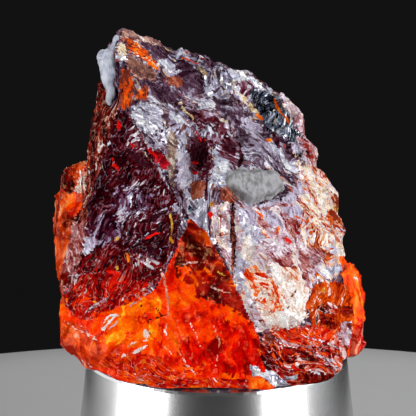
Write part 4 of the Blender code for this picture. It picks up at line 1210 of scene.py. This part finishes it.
def calcite_material(name, light, dark, rough, stretch):
    nodes = Nodes(name)
    where = nodes.add("ShaderNodeMapping", inputs={"Vector": nodes.place(), "Scale": stretch})
    cloud = nodes.noise(where.outputs[0], *CALCITE_CLOUD)
    tint = nodes.mix("RGBA", nodes.step(cloud, *CALCITE_STEP), *[
        (*linear(colour), 1.0) for colour in (dark, light)
    ])
    spread = CALCITE_ROUGHNESS_SPREAD
    inputs = nodes.shader.inputs
    nodes.feed(inputs["Base Color"], tint)
    nodes.feed(inputs["Roughness"], nodes.math("MULTIPLY_ADD", cloud, spread, rough - spread / 2.0))
    nodes.feed(inputs["Normal"], nodes.bump(cloud, CALCITE_BUMP * MM))
    inputs["IOR"].default_value = CALCITE_IOR
    return nodes.material


def waves(point, table):
    """A wavy height from noise of a few sizes."""
    return sum(noise.noise(point * scale) * height for scale, height in table)


def finish_calcite(piece, node, calcite):
    piece.data.shade_smooth()
    piece.data.materials.append(calcite_material(*calcite))
    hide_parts(node)
    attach(piece, "root")


def build_bead():
    bead = copy_of("calcite_bead", "calcite_bead_growth")
    add_lumps(bead, BEAD_LUMPS)
    remesh(bead, BEAD_VOXEL)
    melting = bead.modifiers.new("Melted together", "SMOOTH")
    melting.iterations = BEAD_SMOOTHINGS
    apply_modifiers(bead)
    for corner in bead.data.vertices:
        corner.co += corner.normal * waves(corner.co / MM, BEAD_WAVES) * MM
    finish_calcite(bead, "calcite_bead", WAXY_CALCITE)


def patch_grid():
    """A square grid of points in the patch's own plane, the points to a side, and its out."""
    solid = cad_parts["calcite_patch"].data
    points = np.array([tuple(corner.co) for corner in solid.vertices]) / MM
    centre = points.mean(0)
    out, across, along = np.linalg.eigh(np.cov((points - centre).T))[1].T
    if out @ np.array(view_axes()[2]) < 0.0:
        out = -out
    reach = np.abs((points - centre) @ along).max() + PATCH_MARGIN
    side = np.arange(-reach, reach, PATCH_STEP)
    grid = np.array([centre + along * u + across * v for u in side for v in side])
    return grid, len(side), out


def build_patch():
    grid, count, out = patch_grid()
    depth = outline_depth(to_view(grid), PATCH_OUTLINE)
    mesh = bmesh.new()
    corners = []
    for point, share in zip(grid, smooth(depth, *PATCH_RISE)):
        height = (PATCH_OUT + PATCH_IN) * share - PATCH_IN + waves(Vector(point), PATCH_WAVES)
        corners.append(mesh.verts.new(Vector(point + out * height) * MM))
    for i in range(count - 1):
        for j in range(count - 1):
            near, far = i * count + j, (i + 1) * count + j
            face = [near, far, far + 1, near + 1]
            if depth[face].min() > PATCH_END:
                mesh.faces.new([corners[k] for k in face])
    loose = [corner for corner in mesh.verts if not corner.link_faces]
    bmesh.ops.delete(mesh, geom=loose, context="VERTS")
    bmesh.ops.recalc_face_normals(mesh, faces=mesh.faces)
    data = bpy.data.meshes.new("calcite_patch_growth")
    mesh.to_mesh(data)
    mesh.free()
    patch = add_piece("calcite_patch_growth", data)
    thick = patch.modifiers.new("Back of the crust", "SOLIDIFY")
    thick.thickness = PATCH_THICKNESS * MM
    apply_modifiers(patch)
    finish_calcite(patch, "calcite_patch", MATT_CALCITE)


# The pedestal's steel: how much its flank widens for each millimetre down, how far up or down
# a face of a flat end points at least, how many turned lines go to a millimetre along each
# axis, their noise, and their two greys
PEDESTAL_SLOPE = 0.11
FLAT_END = 0.3
STEEL_LINES = (0.02, 0.02, 4.0)
STEEL_NOISE = (1.0, 4.0, 0.65)
STEEL_DARK = (0.72, 0.72, 0.73, 1.0)
STEEL_LIGHT = (0.84, 0.84, 0.85, 1.0)
STEEL_ROUGHNESS = 0.27


def steel_material():
    nodes = Nodes("turned steel")
    place = nodes.place()
    rings = nodes.add("ShaderNodeMapping", inputs={"Vector": place, "Scale": STEEL_LINES})
    lines = nodes.noise(rings.outputs[0], *STEEL_NOISE)
    # The flank turns smoothly about its axis; the flat ends keep their own normal
    own = nodes.add("ShaderNodeNewGeometry").outputs["Normal"]
    outward = nodes.vector("NORMALIZE", nodes.vector("MULTIPLY", place, (1.0, 1.0, 0.0)))
    smooth_normal = nodes.vector("NORMALIZE", nodes.vector("ADD", outward, (0.0, 0.0, PEDESTAL_SLOPE)))
    upward = nodes.add("ShaderNodeSeparateXYZ", inputs={"Vector": own}).outputs[2]
    flank = nodes.math("LESS_THAN", nodes.math("ABSOLUTE", upward), FLAT_END)
    inputs = nodes.shader.inputs
    nodes.feed(inputs["Base Color"], nodes.mix("RGBA", lines, STEEL_DARK, STEEL_LIGHT))
    nodes.feed(inputs["Normal"], nodes.mix("VECTOR", flank, own, smooth_normal))
    inputs["Metallic"].default_value = 1.0
    inputs["Roughness"].default_value = STEEL_ROUGHNESS
    return nodes.material


def dress_pedestal():
    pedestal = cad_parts["pedestal"]
    pedestal.data.materials.clear()
    pedestal.data.materials.append(steel_material())


def add_floor():
    """A pale round table top whose edge curves down out of sight."""
    bpy.ops.mesh.primitive_cylinder_add(
        vertices=FLOOR_SIDES, radius=FLOOR_RADIUS, depth=FLOOR_THICKNESS,
        location=(0.0, 0.0, -FLOOR_THICKNESS / 2.0),
    )
    floor = bpy.context.object
    floor.name = "floor"
    rounding = floor.modifiers.new("Rounded edge", "BEVEL")
    rounding.width = FLOOR_ROUNDING
    rounding.segments = FLOOR_ROUNDING_STEPS
    rounding.angle_limit = FLOOR_EDGE_ANGLE
    floor.data.shade_smooth()
    nodes = Nodes("pale floor")
    where = nodes.add("ShaderNodeTexCoord").outputs["Object"]
    mottle = nodes.noise(where, *FLOOR_MOTTLE)
    nodes.feed(nodes.shader.inputs["Base Color"], nodes.mix("RGBA", mottle, FLOOR_LIGHT, FLOOR_DARK))
    nodes.shader.inputs["Roughness"].default_value = FLOOR_ROUGHNESS
    floor.data.materials.append(nodes.material)


bpy.context.scene.view_settings.view_transform = "Standard"
add_camera()
add_lights()
add_floor()
dress_pedestal()
build_stone()
build_bead()
build_patch()
